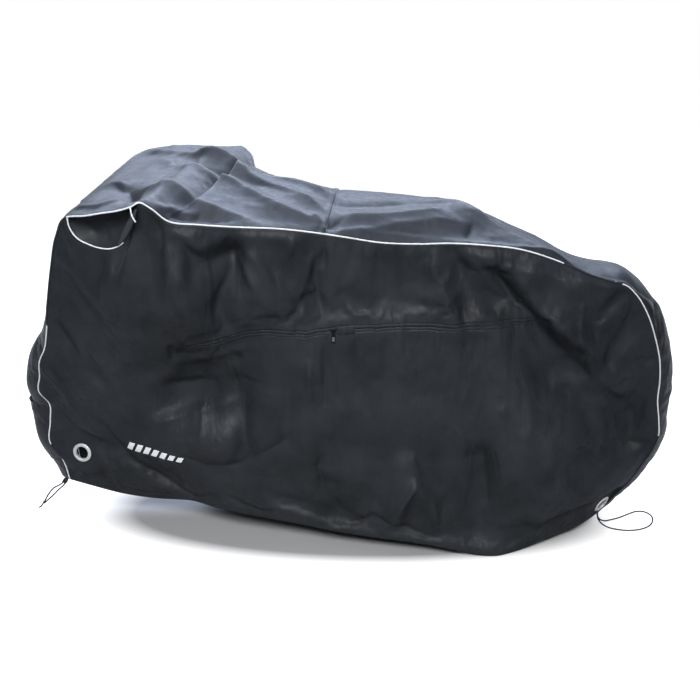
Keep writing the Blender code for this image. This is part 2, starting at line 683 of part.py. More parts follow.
def pipings():
    points = {side: seam_points(SEAM_LINE.at(stations()), side) for side in (-1, 1)}
    rod("piping_near", points[-1], PIPING_RADIUS, "piping", fineness=1)
    rod("piping_far", points[1], PIPING_RADIUS, "piping", fineness=1)


def vent(panel_grid):
    """The mouth beside the near grip: its piped lip, its cloth facing and the back of its pocket."""
    lip = LIP_LINE.share(np.linspace(0, 1, MOUTH_COLUMNS + 1)) * (1, -1, 1)
    start = lip[0] + (lip[1] - lip[0]) * LIP_START
    rod("vent_piping", np.concatenate((start[None], lip[1:LIP_PIPED_COLUMNS + 1])), PIPING_RADIUS, "piping")
    rod("vent_stub", np.array(STUB_ROUTE), STUB_RADIUS, "piping")

    first, last = BACK_COLUMNS
    edge, under = panel_grid[-1], panel_grid[-2]
    low = (edge + (under - edge) * BACK_BELOW + (0, BACK_CLEAR, 0))[first:last + 1]
    top = top_grid()[ROWS + first:ROWS + last + 1]
    high = top[:, 0] + unit(top[:, 1] - top[:, 0]) * BACK_HIGH_IN - np.array((0, 0, BACK_HIGH_BELOW))
    v = np.linspace(0, 1, VENT_ROWS + 1)[:, None, None]
    grid = (1 - v) * low[None] + v * high[None]
    arch = np.sin(np.pi * np.linspace(0.1, 0.9, last - first + 1))
    grid[..., 1] += BACK_DEPTH * np.sin(np.pi * v[..., 0]) ** 0.8 * arch[None]
    cloth("vent_back", grid, (0, -1, 0), "side_cloth", thickness=THIN_CLOTH)

    first, last = FACING_COLUMNS
    low = lip[first:last + 1] + np.array(FACING_IN)
    width = FACING_WIDTH * np.sin(np.pi * np.linspace(0.15, 0.85, last - first + 1))[:, None]
    high = low + width * np.array(FACING_LEAN)
    cloth("vent_facing", np.stack((low, high)), (0, -1, 0), "side_cloth", thickness=THIN_CLOTH)


def zip_parts(grid):
    """The zip: two welts over its teeth, the cloth garage, the slider, its pull and the end tab."""
    first, last = zip_columns(grid)
    low = grid[ROWS_BELOW_ZIP, first:last + 1]
    high = grid[ROWS_BELOW_ZIP + 1, first:last + 1]
    out = unit(np.cross(np.gradient(low, axis=0), high - low))
    out = out * -np.sign(out[:, 1:2])
    edge = REST_GAP / (2 * ZIP_HALF)
    slit = WELT_SLIT / (4 * ZIP_HALF)
    shares = {"zip_welt_lower": (edge, 0.5 - slit), "zip_welt_upper": (0.5 + slit, 1 - edge)}
    for name, (a, b) in shares.items():
        rows = np.stack([low + (high - low) * share + out * WELT_PROUD for share in (a, b)])
        rows[:, 0] += unit(rows[:, 1] - rows[:, 0]) * REST_GAP
        rows[:, -1] += unit(rows[:, -2] - rows[:, -1]) * REST_GAP
        made = cloth(name, rows, (0, -1, 0), "zip_tape", thickness=WELT_THICK)
    tree = surface_of(made)
    middle = (low + high) / 2
    lift = np.array((0, 0, ZIP_HALF / 2))        # the upper welt is above the middle of the zip
    x_garage = np.linspace(*GARAGE_X, GARAGE_STEPS)
    z_garage = np.interp(x_garage, middle[:, 0], middle[:, 2])
    spine = np.array([zip_place(tree, x, z, GARAGE_CLEAR) for x, z in zip(x_garage, z_garage + lift[2])]) - lift
    rows = [spine + (0, 0, side * GARAGE_HALF) for side in (-1, 0, 1)]
    cloth("zip_garage", np.array(rows), (0, -1, 0), "zip_tape", thickness=THIN_CLOTH)
    z = np.interp(SLIDER_X, middle[:, 0], middle[:, 2]) + lift[2]
    turn = facing(tree, SLIDER_X, z)
    block("zip_slider", SLIDER_SIZE, "zip_metal", METAL_BEVEL, zip_place(tree, SLIDER_X, z, SLIDER_CLEAR) - lift, turn)
    hang = lift + (0, 0, PULL_DROP)
    block("zip_pull", PULL_SIZE, "zip_metal", TAB_BEVEL, zip_place(tree, SLIDER_X, z, PULL_CLEAR) - hang, turn)
    end_x = middle[-1, 0] - END_TAB_SIZE[0] * 2
    z = middle[-1, 2] + lift[2]
    place = zip_place(tree, end_x, z, END_CLEAR) - lift
    block("zip_end_tab", END_TAB_SIZE, "zip_tape", TAB_BEVEL, place, facing(tree, end_x, z))


def zip_place(tree, x, z, height):
    """A point this high above the outer face of the upper welt."""
    point, normal = on_side(tree, x, z, -1)
    return point + normal * height


def facing(tree, x, z):
    """The turn that lays a block's -Y face on the near panel's outward direction."""
    _, normal = on_side(tree, x, z, -1)
    return Vector(-normal).to_track_quat("Y", "Z").to_euler()


def eyelets(panels):
    """Lock eyelets: a round patch of cloth let into each side panel, with a turned metal ring through it."""
    for side, side_name in ((-1, "near"), (1, "far")):
        panel = panels[side]
        tree = surface_of(panel)
        for end, (x, z) in EYELET_AT.items():
            place, normal = on_side(tree, x, z, side)
            outer = cylinder_cutter(f"cut_{end}_{side_name}", place, normal, PATCH_RADIUS + PATCH_GAP)
            keep = cylinder_cutter(f"keep_{end}_{side_name}", place, normal, PATCH_RADIUS)
            hole = cylinder_cutter(f"hole_{end}_{side_name}", place, normal, EYELET_HOLE + EYELET_WALL + REST_GAP)
            patch = panel.copy()
            patch.data = panel.data.copy()
            patch.name = f"eyelet_patch_{end}_{side_name}"
            for modifier in [m for m in patch.modifiers if m.type == "BOOLEAN"]:
                patch.modifiers.remove(modifier)
            bpy.data.collections[COVER].objects.link(patch)
            cut(patch, keep, "INTERSECT")
            cut(patch, hole, "DIFFERENCE")
            cut(panel, outer, "DIFFERENCE")
            spread = ring_reach(patch, place, normal)
            eyelet_ring(f"eyelet_ring_{end}_{side_name}", place, normal, spread)


def ring_reach(patch, place, normal):
    """How far the patch reaches in front of and behind the ring's middle, along the ring's axis."""
    bpy.context.view_layer.update()
    graph = bpy.context.evaluated_depsgraph_get()
    mesh = patch.evaluated_get(graph).to_mesh()
    points = np.array([v.co for v in mesh.vertices])
    patch.evaluated_get(graph).to_mesh_clear()
    offset = points - place
    height = offset @ normal
    return height.max(), height.min()


def eyelet_ring(name, place, normal, reach):
    """A turned ring: a barrel through the patch with a flange on each face."""
    front, back = reach[0] + REST_GAP, reach[1] - REST_GAP
    rim, wall, thick = EYELET_RIM, EYELET_WALL, EYELET_FLANGE
    profile = (
        (EYELET_HOLE, front + thick * 0.5),
        (EYELET_HOLE + 0.0012, front + thick),
        (rim - 0.0016, front + thick * 0.8),
        (rim, front + thick * 0.2),
        (rim, front),
        (EYELET_HOLE + wall, front),
        (EYELET_HOLE + wall, back),
        (rim - 0.002, back),
        (rim - 0.002, back - thick * 0.6),
        (EYELET_HOLE, back - thick * 0.6),
    )
    bm = bmesh.new()
    verts = [bm.verts.new((radius, 0.0, height)) for radius, height in profile]
    for a, b in zip(verts, verts[1:] + verts[:1]):
        bm.edges.new((a, b))
    mesh = mesh_from(bm, name)
    made = add_object(name, mesh, "eyelet_metal", COVER)
    turned = made.modifiers.new("turned", "SCREW")
    turned.steps = turned.render_steps = EYELET_STEPS
    turned.use_merge_vertices = True
    turned.merge_threshold = 0.00001
    turned.use_normal_calculate = True
    made.location = place
    made.rotation_euler = Vector(normal).to_track_quat("Z", "Y").to_euler()


def even_points(route):
    """Points every CORD_STEP along a smooth curve through a route's own points."""
    line = Line(route)
    return line.share(np.linspace(0, 1, max(4, round(line.length / CORD_STEP)) + 1))


def drawcords():
    """The hem cord: its lock, strands and knot at the front and its loop behind the rear wheel."""
    block("cord_lock", LOCK_SIZE, "cord_lock", LOCK_BEVEL, LOCK_AT, (0, LOCK_TILT, 0))
    turn = Matrix.Rotation(LOCK_TILT, 3, "Y")
    for letter, route in STRAND_ROUTES.items():
        reach = LOCK_SIZE[2] / 2 + STRAND_GAP
        straight = [Vector(LOCK_AT) + turn @ Vector((STRAND_OFFSETS[letter], 0, -reach - more))
                    for more in (0, STRAND_STRAIGHT)]
        rod(f"drawcord_front_{letter}", even_points((*map(tuple, straight), *route)), CORD_RADIUS, "cord")
    bm = bmesh.new()
    bmesh.ops.create_uvsphere(bm, u_segments=12, v_segments=8, radius=KNOT_RADIUS)
    mesh = mesh_from(bm, "drawcord_knot")
    knot = add_object("drawcord_knot", mesh, "cord", COVER)
    knot.location = KNOT_AT
    rod("drawcord_tail", even_points(TAIL_ROUTE), CORD_RADIUS, "cord")
    rod("drawcord_rear", even_points(LOOP_ROUTE), CORD_RADIUS, "cord")


def main():
    for old in list(bpy.data.objects):
        bpy.data.objects.remove(old)
    for name in (COVER, "cutters"):
        group = bpy.data.collections.new(name)
        bpy.context.scene.collection.children.link(group)
    origin = bpy.data.objects.new("cover_origin", None)
    origin.location = (-SADDLE_X, 0.0, -(SADDLE_TOP - CLOTH / 2))
    bpy.data.collections[COVER].objects.link(origin)
    grids = {side: side_grid(side) for side in (-1, 1)}
    panels = side_panels(grids)
    top_panels()
    pipings()
    vent(grids[-1])
    zip_parts(grids[-1])
    eyelets(panels)
    drawcords()


main()
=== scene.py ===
"""A fitted bicycle cover, standing as it does over a bicycle that is left out.

Every length is in metres. The tables count x back from the front axle, y away from the camera and z up
from the ground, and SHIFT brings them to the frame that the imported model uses.
"""
import math

import bmesh
import bpy
import numpy as np
from mathutils import Matrix, Vector, noise
from mathutils.bvhtree import BVHTree


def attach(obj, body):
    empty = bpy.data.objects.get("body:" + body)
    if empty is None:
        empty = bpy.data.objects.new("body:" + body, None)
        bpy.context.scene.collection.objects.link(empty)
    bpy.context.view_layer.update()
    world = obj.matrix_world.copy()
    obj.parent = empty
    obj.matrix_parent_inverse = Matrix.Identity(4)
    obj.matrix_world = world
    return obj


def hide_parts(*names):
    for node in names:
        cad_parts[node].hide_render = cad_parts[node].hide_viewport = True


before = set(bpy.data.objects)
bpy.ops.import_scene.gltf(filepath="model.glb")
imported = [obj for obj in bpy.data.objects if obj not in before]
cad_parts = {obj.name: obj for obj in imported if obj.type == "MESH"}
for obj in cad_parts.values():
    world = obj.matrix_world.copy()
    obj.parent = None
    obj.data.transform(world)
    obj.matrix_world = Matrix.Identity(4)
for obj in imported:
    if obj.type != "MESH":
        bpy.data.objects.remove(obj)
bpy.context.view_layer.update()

SHIFT = np.array((-0.862, 0.0, -0.99125))
BODY = "root"
SIDES = ((-1, "near"), (1, "far"))

# ------------------------------------------------------------------ camera
GROUND = SHIFT[2]
YAW, PITCH = math.radians(2.2), math.radians(23.5)
SENSOR = 36
FOCAL_LENGTH_IN_FRAMES = 800 / 700
camera = bpy.data.objects.new("camera", bpy.data.cameras.new("camera"))
camera.data.sensor_width = SENSOR
camera.data.lens = FOCAL_LENGTH_IN_FRAMES * SENSOR
camera.data.clip_end = 60
camera.location = (-0.202, -2.08, 1.46 + GROUND)
ahead = Vector((-math.sin(YAW) * math.cos(PITCH), math.cos(YAW) * math.cos(PITCH), -math.sin(PITCH)))
camera.rotation_euler = ahead.to_track_quat("-Z", "Y").to_euler()
bpy.context.scene.collection.objects.link(camera)
bpy.context.scene.camera = camera

# ------------------------------------------------------------------ sizes
# The cloth's thickness, the thinner bits sewn on, the piping and the gap that a panel leaves beside it.
CLOTH = 0.0015
THIN_CLOTH = 0.0010
PIPING_RADIUS = 0.0018
EDGE_GAP = 0.0026
# Where the cloth has rolled over the near piping, in rows of SEAM, and how thick that roll is.
ROLLED_OVER = ((1.1, 1.9), (9.2, 13.0), (31.8, 34.7), (43.0, 47.9))
ROLL_RADIUS = 0.0026
CROSS_SEAM_AT = 0.545
# Rows of SEAM at the panels' upper corners and at the rear end of the vent's mouth.
FRONT_CORNER = 13
REAR_CORNER = 35
MOUTH_END = 18
# Half the zip's slot, its slider's place and thickness, and how far past its ends the cloth is drawn up.
ZIP_HALF = 0.0068
SLIDER_AT = 0.546
SLIDER_THICKNESS = 0.0034
ZIP_PAST = 0.03
HEM_WIDTH = 0.030
HEM_STITCHES_AT = HEM_WIDTH - 0.003
COIL_PITCH = 0.0026
STITCH_PITCH = 0.0044
STITCH_LIFT = 0.0011
EYELET_AT = {"front": (-0.205, 0.245), "rear": (1.330, 0.092)}
# Which way the cloth round an eyelet is turned, for the near side.
EYELET_FACING = {"front": (-0.10, -0.95, 0.30), "rear": (0.67, -0.69, -0.27)}
# How much of that turn it takes, and how far out the cloth is flat and then bent back.
EYELET_TURN = 0.6
EYELET_FLAT = 0.045
EYELET_FADE = 0.090
EYELET_CUT = 0.0215
PATCH_RINGS = (0.0204, 0.0225, 0.0250, 0.0290, 0.0312, 0.0325)
EYELET_HOLE = 0.0190
EYELET_RIM = 0.0285
FACING_WIDTH = 0.017
# Where the top slopes down behind the bars: place, reach along the bicycle and height added.
BAR_SLOPE = (0.205, 0.060, 0.024)
# The printed dashes: a row of equal slanted bars that get lower towards the rear.
DASH_COUNT = 7
DASH_PITCH = 0.0245
DASH_WIDTH = 0.0160
DASH_HEIGHTS = (0.038, 0.020)
DASHES_AT = (-0.057, 0.284)
DASHES_DROP = -0.14
DASH_SLANT = 0.55
DASH_CELLS = 8
CORD_RADIUS = 0.0021
LOCK_AT = (-0.2762, -0.0580, 0.1378)
LOCK_SIZE = (0.014, 0.011, 0.018)
LOCK_TILT = math.radians(35)
KNOT_AT = (-0.352, -0.064, 0.060)
KNOT_SIZE = 0.0030
KNOT_CORD = 0.00155
STRAND_OFFSETS = {"a": -0.0036, "b": 0.0036}
STRAND_ROUTES = {
    "a": ((-0.312, -0.066, 0.115), (-0.332, -0.066, 0.092), (-0.3490, -0.0643, 0.0646)),
    "b": ((-0.303, -0.062, 0.104), (-0.323, -0.061, 0.083), (-0.3468, -0.0637, 0.0617)),
}
TAIL_ROUTE = ((-0.3560, -0.064, 0.0558), (-0.3605, -0.065, 0.0490), (-0.3680, -0.066, 0.0430))
LOOP_ROUTE = (
    (1.3327, -0.0222, 0.0391), (1.336, -0.019, 0.023), (1.346, -0.015, 0.009),
    (1.362, -0.011, 0.0022), (1.382, -0.004, 0.0016), (1.402, 0.004, 0.0016),
    (1.426, 0.017, 0.0016), (1.452, 0.033, 0.0016), (1.474, 0.043, 0.0016), (1.494, 0.043, 0.0016),
    (1.508, 0.032, 0.0016), (1.513, 0.014, 0.0016), (1.507, -0.009, 0.0016), (1.492, -0.03, 0.0016),
    (1.47, -0.045, 0.0016), (1.444, -0.054, 0.0016), (1.415, -0.057, 0.0016),
    (1.388, -0.053, 0.0016), (1.364, -0.044, 0.002), (1.346, -0.036, 0.009), (1.334, -0.031, 0.023),
    (1.3298, -0.0273, 0.0409),
)
# How closely a side panel follows the seams at its two ends: the higher, the nearer to them it stops.
SEAM_PULL = 4
# Grids: rows up from the hem, columns back from the front seam, and cells across the top.
MOUTH_COLUMNS = 44
COLUMNS = 340
ROWS_BELOW_ZIP = 92
ROWS_ABOVE_ZIP = 42
ACROSS = 108

# The long seams: x, half width, z, the far seam's shift in x and z, the crown and its flatness.
SEAM = (
    (-0.266, 0.05, 0.137, 0, 0, 0.04, 2.2),
    (-0.274, 0.055, 0.205, 0, 0, 0.057, 2.2),
    (-0.304, 0.058, 0.269, 0, 0, 0.055, 2.2),
    (-0.29, 0.062, 0.345, 0, 0, 0.075, 2.2),
    (-0.284, 0.064, 0.402, 0, 0, 0.083, 2.2),
    (-0.306, 0.068, 0.44, 0, 0, 0.056, 2.4),
    (-0.292, 0.078, 0.494, 0, 0, 0.056, 2.6),
    (-0.281, 0.09, 0.54, 0, 0, 0.048, 2.8),
    (-0.247, 0.115, 0.597, 0.004, 0, 0.042, 3),
    (-0.224, 0.138, 0.655, 0.008, 0.004, 0.034, 3.2),
    (-0.2, 0.15, 0.756, 0.012, 0.01, 0.022, 3.4),
    (-0.166, 0.18, 0.85, 0.018, 0.02, 0.014, 3.4),
    (-0.118, 0.235, 0.945, 0.022, 0.034, 0.01, 3.2),
    (-0.063, 0.29, 1.005, 0.024, 0.053, 0.008, 3),
    (-0.015, 0.31, 1.013, 0.042, 0.056, 0.01, 2.6),
    (0.028, 0.325, 1.023, 0.065, 0.048, 0.014, 2.4),
    (0.073, 0.335, 1.032, 0.09, 0.034, 0.014, 2.2),
    (0.106, 0.342, 1.043, 0.104, 0.022, 0.014, 2),
    (0.126, 0.345, 1.053, 0.116, 0.012, 0.014, 2),
    (0.148, 0.336, 1.038, 0.122, 0.008, 0.02, 1.8),
    (0.177, 0.318, 1.006, 0.106, 0.006, 0.034, 1.7),
    (0.247, 0.295, 0.991, 0.074, 0.002, 0.044, 1.6),
    (0.323, 0.27, 0.98, 0.05, 0.004, 0.05, 1.6),
    (0.424, 0.245, 0.97, 0.028, 0.006, 0.054, 1.7),
    (0.494, 0.23, 0.959, 0.014, 0.002, 0.054, 1.8),
    (0.576, 0.21, 0.942, 0.006, 0, 0.062, 1.8),
    (0.66, 0.19, 0.924, 0, 0, 0.074, 1.8),
    (0.758, 0.175, 0.917, 0, -0.004, 0.08, 1.7),
    (0.832, 0.17, 0.918, 0, -0.008, 0.078, 1.5),
    (0.923, 0.163, 0.912, 0, -0.014, 0.05, 1.4),
    (1.006, 0.153, 0.9, 0, -0.022, 0.022, 1.8),
    (1.074, 0.143, 0.879, 0, -0.028, 0.018, 2.4),
    (1.132, 0.137, 0.856, 0, -0.03, 0.016, 3),
    (1.191, 0.133, 0.829, 0, -0.028, 0.019, 3.2),
    (1.244, 0.128, 0.811, 0, -0.024, 0.024, 3.2),
    (1.291, 0.12, 0.797, 0, -0.02, 0.033, 2.8),
    (1.325, 0.112, 0.766, 0, -0.012, 0.038, 2.4),
    (1.361, 0.105, 0.713, 0, -0.006, 0.046, 2.4),
    (1.393, 0.098, 0.643, 0, 0, 0.05, 2.4),
    (1.415, 0.092, 0.58, 0, 0, 0.05, 2.3),
    (1.427, 0.086, 0.517, 0, 0, 0.056, 2.2),
    (1.432, 0.081, 0.454, 0, 0, 0.058, 2.2),
    (1.447, 0.075, 0.389, 0, 0, 0.044, 2.2),
    (1.457, 0.066, 0.335, 0, 0, 0.039, 2.2),
    (1.448, 0.058, 0.28, 0, 0, 0.039, 2.2),
    (1.43, 0.048, 0.225, 0, 0, 0.037, 2.2),
    (1.405, 0.04, 0.165, 0, 0, 0.033, 2.2),
    (1.37, 0.034, 0.108, 0, 0, 0.024, 2.2),
    (1.325, 0.032, 0.046, 0, 0, 0.018, 2.2),
)

HEM = (
    (-0.266, 0.05, 0.137), (-0.198, 0.058, 0.122), (-0.107, 0.062, 0.099), (0.002, 0.066, 0.086),
    (0.057, 0.075, 0.09), (0.106, 0.09, 0.098), (0.197, 0.125, 0.096), (0.318, 0.15, 0.088),
    (0.442, 0.165, 0.075), (0.54, 0.18, 0.064), (0.633, 0.19, 0.056), (0.728, 0.198, 0.049),
    (0.808, 0.202, 0.04), (0.89, 0.204, 0.024), (0.958, 0.202, 0.008), (1.01, 0.196, 0.004),
    (1.062, 0.18, 0.008), (1.11, 0.158, 0.012), (1.161, 0.128, 0.016), (1.211, 0.1, 0.02),
    (1.259, 0.076, 0.024), (1.325, 0.032, 0.046),
)

LIP = (
    (-0.063, 0.29, 1.005), (-0.062, 0.288, 0.982), (-0.05, 0.288, 0.958), (-0.018, 0.294, 0.941),
    (0.034, 0.306, 0.935), (0.066, 0.32, 0.95), (0.096, 0.334, 0.985), (0.115, 0.342, 1.02),
    (0.126, 0.345, 1.053),
)

# How deep the drawn creases and the top's soft folds are, as shares of their lists.
SIDE_CREASE_DEPTH = 1.8
TOP_CREASE_DEPTH = 1.5
TOP_FOLD_DEPTH = 0.12
# How far in from a side panel's ends, top edge and hem its relief is fully there, as shares of the panel.
SWELLS_FADE = (0.10, 0.16, 0.22)
FOLDS_FADE = (0.04, 0.08, 0.08)
CREASES_FADE = (0.012, 0.03, 0.03)
# Gathers across a sewn line: their height and how far they reach from it.
PUCKER_HEIGHT = 0.0040
PUCKER_REACH = 0.030
# The crumple of each cloth: reach in x, y and z, and height.
SIDE_CRUMPLE = (((0.10, 0.3, 0.22), 0.0045), ((0.045, 0.2, 0.07), 0.0018))
TOP_CRUMPLE = (((0.16, 0.09, 0.16), 0.0025), ((0.06, 0.04, 0.06), 0.0012))
# How a cloth moves while it settles: hard to stretch, slow to bend and well damped.
SETTLING_CLOTH = {
    "quality": 7, "mass": 0.15, "tension_stiffness": 25, "compression_stiffness": 25, "shear_stiffness": 12,
    "bending_stiffness": 4.0, "tension_damping": 8, "compression_damping": 8, "shear_damping": 8,
    "air_damping": 3, "vertex_group_mass": "pinned", "pin_stiffness": 1.0,
}
# Frames, the most that a point may move, the growth that makes the wrinkles, and the share of gravity.
SIDE_SETTLING = (30, 0.012, 0.022, 1.0)
TOP_SETTLING = (28, 0.006, 0.006, 0.4)

# What pushes a side panel out (x, z, reach_x, reach_z, out), and its folds and the top panel's
# (from, to, width, height).
NEAR_SHAPE = (
    (-0.08, 0.84, 0.14, 0.16, 0.04),
    (0.12, 0.8, 0.2, 0.16, 0.06),
    (0.16, 0.56, 0.18, 0.1, -0.015),
    (0.18, 0.36, 0.2, 0.08, 0.03),
    (0.6, 0.45, 0.35, 0.25, 0.03),
    (1.16, 0.34, 0.2, 0.22, 0.065),
    (1.34, 0.56, 0.1, 0.16, 0.02),
    (-0.02, 0.3, 0.16, 0.14, 0.015),
)

NEAR_FOLDS = (
    (0.88, 0.9, 1.03, 0.69, 0.05, -0.034),
    (1.03, 0.69, 1.22, 0.48, 0.056, -0.042),
    (1.22, 0.48, 1.43, 0.33, 0.05, -0.03),
    (0.8, 0.9, 0.86, 0.68, 0.036, 0.016),
    (1.13, 0.82, 1.15, 0.6, 0.038, 0.022),
    (1.26, 0.78, 1.27, 0.56, 0.036, -0.016),
    (0.17, 0.96, 0.22, 0.7, 0.034, 0.024),
    (0.31, 0.98, 0.26, 0.7, 0.036, -0.026),
    (-0.11, 0.31, 0.09, 0.16, 0.044, -0.022),
    (0.16, 0.56, 0.35, 0.63, 0.05, -0.02),
    (0.29, 0.56, 0.31, 0.32, 0.036, -0.026),
    (0.06, 0.43, 0.26, 0.46, 0.06, -0.022),
    (0.7, 0.07, 0.74, 0.34, 0.036, 0.022),
    (0.56, 0.07, 0.54, 0.26, 0.036, -0.016),
    (0.93, 0.36, 0.95, 0.06, 0.042, -0.026),
    (1.14, 0.34, 1.12, 0.1, 0.038, 0.018),
    (-0.22, 0.65, -0.08, 0.54, 0.04, -0.018),
    (0.48, 0.6, 0.47, 0.33, 0.038, 0.016),
)

FAR_SHAPE = (
    (-0.06, 0.84, 0.14, 0.16, 0.04),
    (0.16, 0.8, 0.2, 0.16, 0.05),
    (0.6, 0.45, 0.35, 0.25, 0.03),
    (1.16, 0.34, 0.2, 0.22, 0.06),
)

FAR_FOLDS = (
    (0.86, 0.9, 1.04, 0.64, 0.052, -0.028),
    (1.04, 0.64, 1.24, 0.4, 0.056, -0.03),
    (0.3, 0.98, 0.38, 0.64, 0.04, 0.02),
    (0.16, 0.92, 0.2, 0.62, 0.038, -0.022),
    (0.2, 0.6, 0.24, 0.32, 0.04, -0.022),
    (0.62, 0.46, 0.66, 0.08, 0.042, 0.02),
    (0.9, 0.38, 0.88, 0.08, 0.042, -0.018),
    (1.14, 0.38, 1.17, 0.12, 0.04, 0.016),
)

TOP_FOLDS = (
    (-0.02, 0.24, 0.3, -0.12, 0.062, -0.034),
    (0.18, 0.22, 0.48, -0.02, 0.056, 0.018),
    (0.34, 0.16, 0.6, -0.02, 0.05, -0.018),
    (0.11, -0.3, 0, -0.06, 0.056, -0.018),
    (0.6, -0.14, 0.84, -0.02, 0.042, 0.016),
    (0.7, -0.17, 0.87, -0.1, 0.036, -0.012),
    (0.875, -0.012, 1.2, -0.11, 0.04, 0.03),
    (0.94, 0.07, 1.29, 0.07, 0.04, 0.014),
    (1, 0.01, 1.32, -0.02, 0.042, -0.026),
    (0.44, -0.2, 0.54, -0.04, 0.042, -0.014),
)

ZIP_LINE = (
    (0.153, 0.638), (0.205, 0.655), (0.262, 0.666), (0.318, 0.692), (0.372, 0.699), (0.47, 0.69),
    (0.56, 0.7), (0.72, 0.706), (0.9, 0.704), (1.07, 0.699),
)

# Broad hollows and swells of the sides, where the cloth hangs between the bicycle's parts:
# x, z, reach in x and z, height out.
SIDE_SWELLS = (
    (0.2, 0.5, 0.12, 0.1, -0.04),
    (0.23, 0.385, 0.14, 0.06, 0.01),
    (-0.16, 0.78, 0.08, 0.08, -0.014),
    (0.06, 0.74, 0.07, 0.09, -0.012),
    (-0.12, 0.5, 0.09, 0.05, 0.012),
    (0.4, 0.77, 0.06, 0.08, 0.014),
    (1.3, 0.43, 0.15, 0.18, -0.045),
    (1.14, 0.56, 0.08, 0.1, -0.018),
    (1.2, 0.82, 0.12, 0.06, 0.01),
    (0.56, 0.44, 0.09, 0.1, 0.01),
    (-0.06, 0.7, 0.07, 0.06, -0.014),
    (0.4, 0.23, 0.12, 0.06, -0.012),
    (1.16, 0.18, 0.08, 0.06, -0.014),
    (-0.18, 0.62, 0.06, 0.12, -0.012),
    (1.34, 0.3, 0.08, 0.1, -0.012),
)
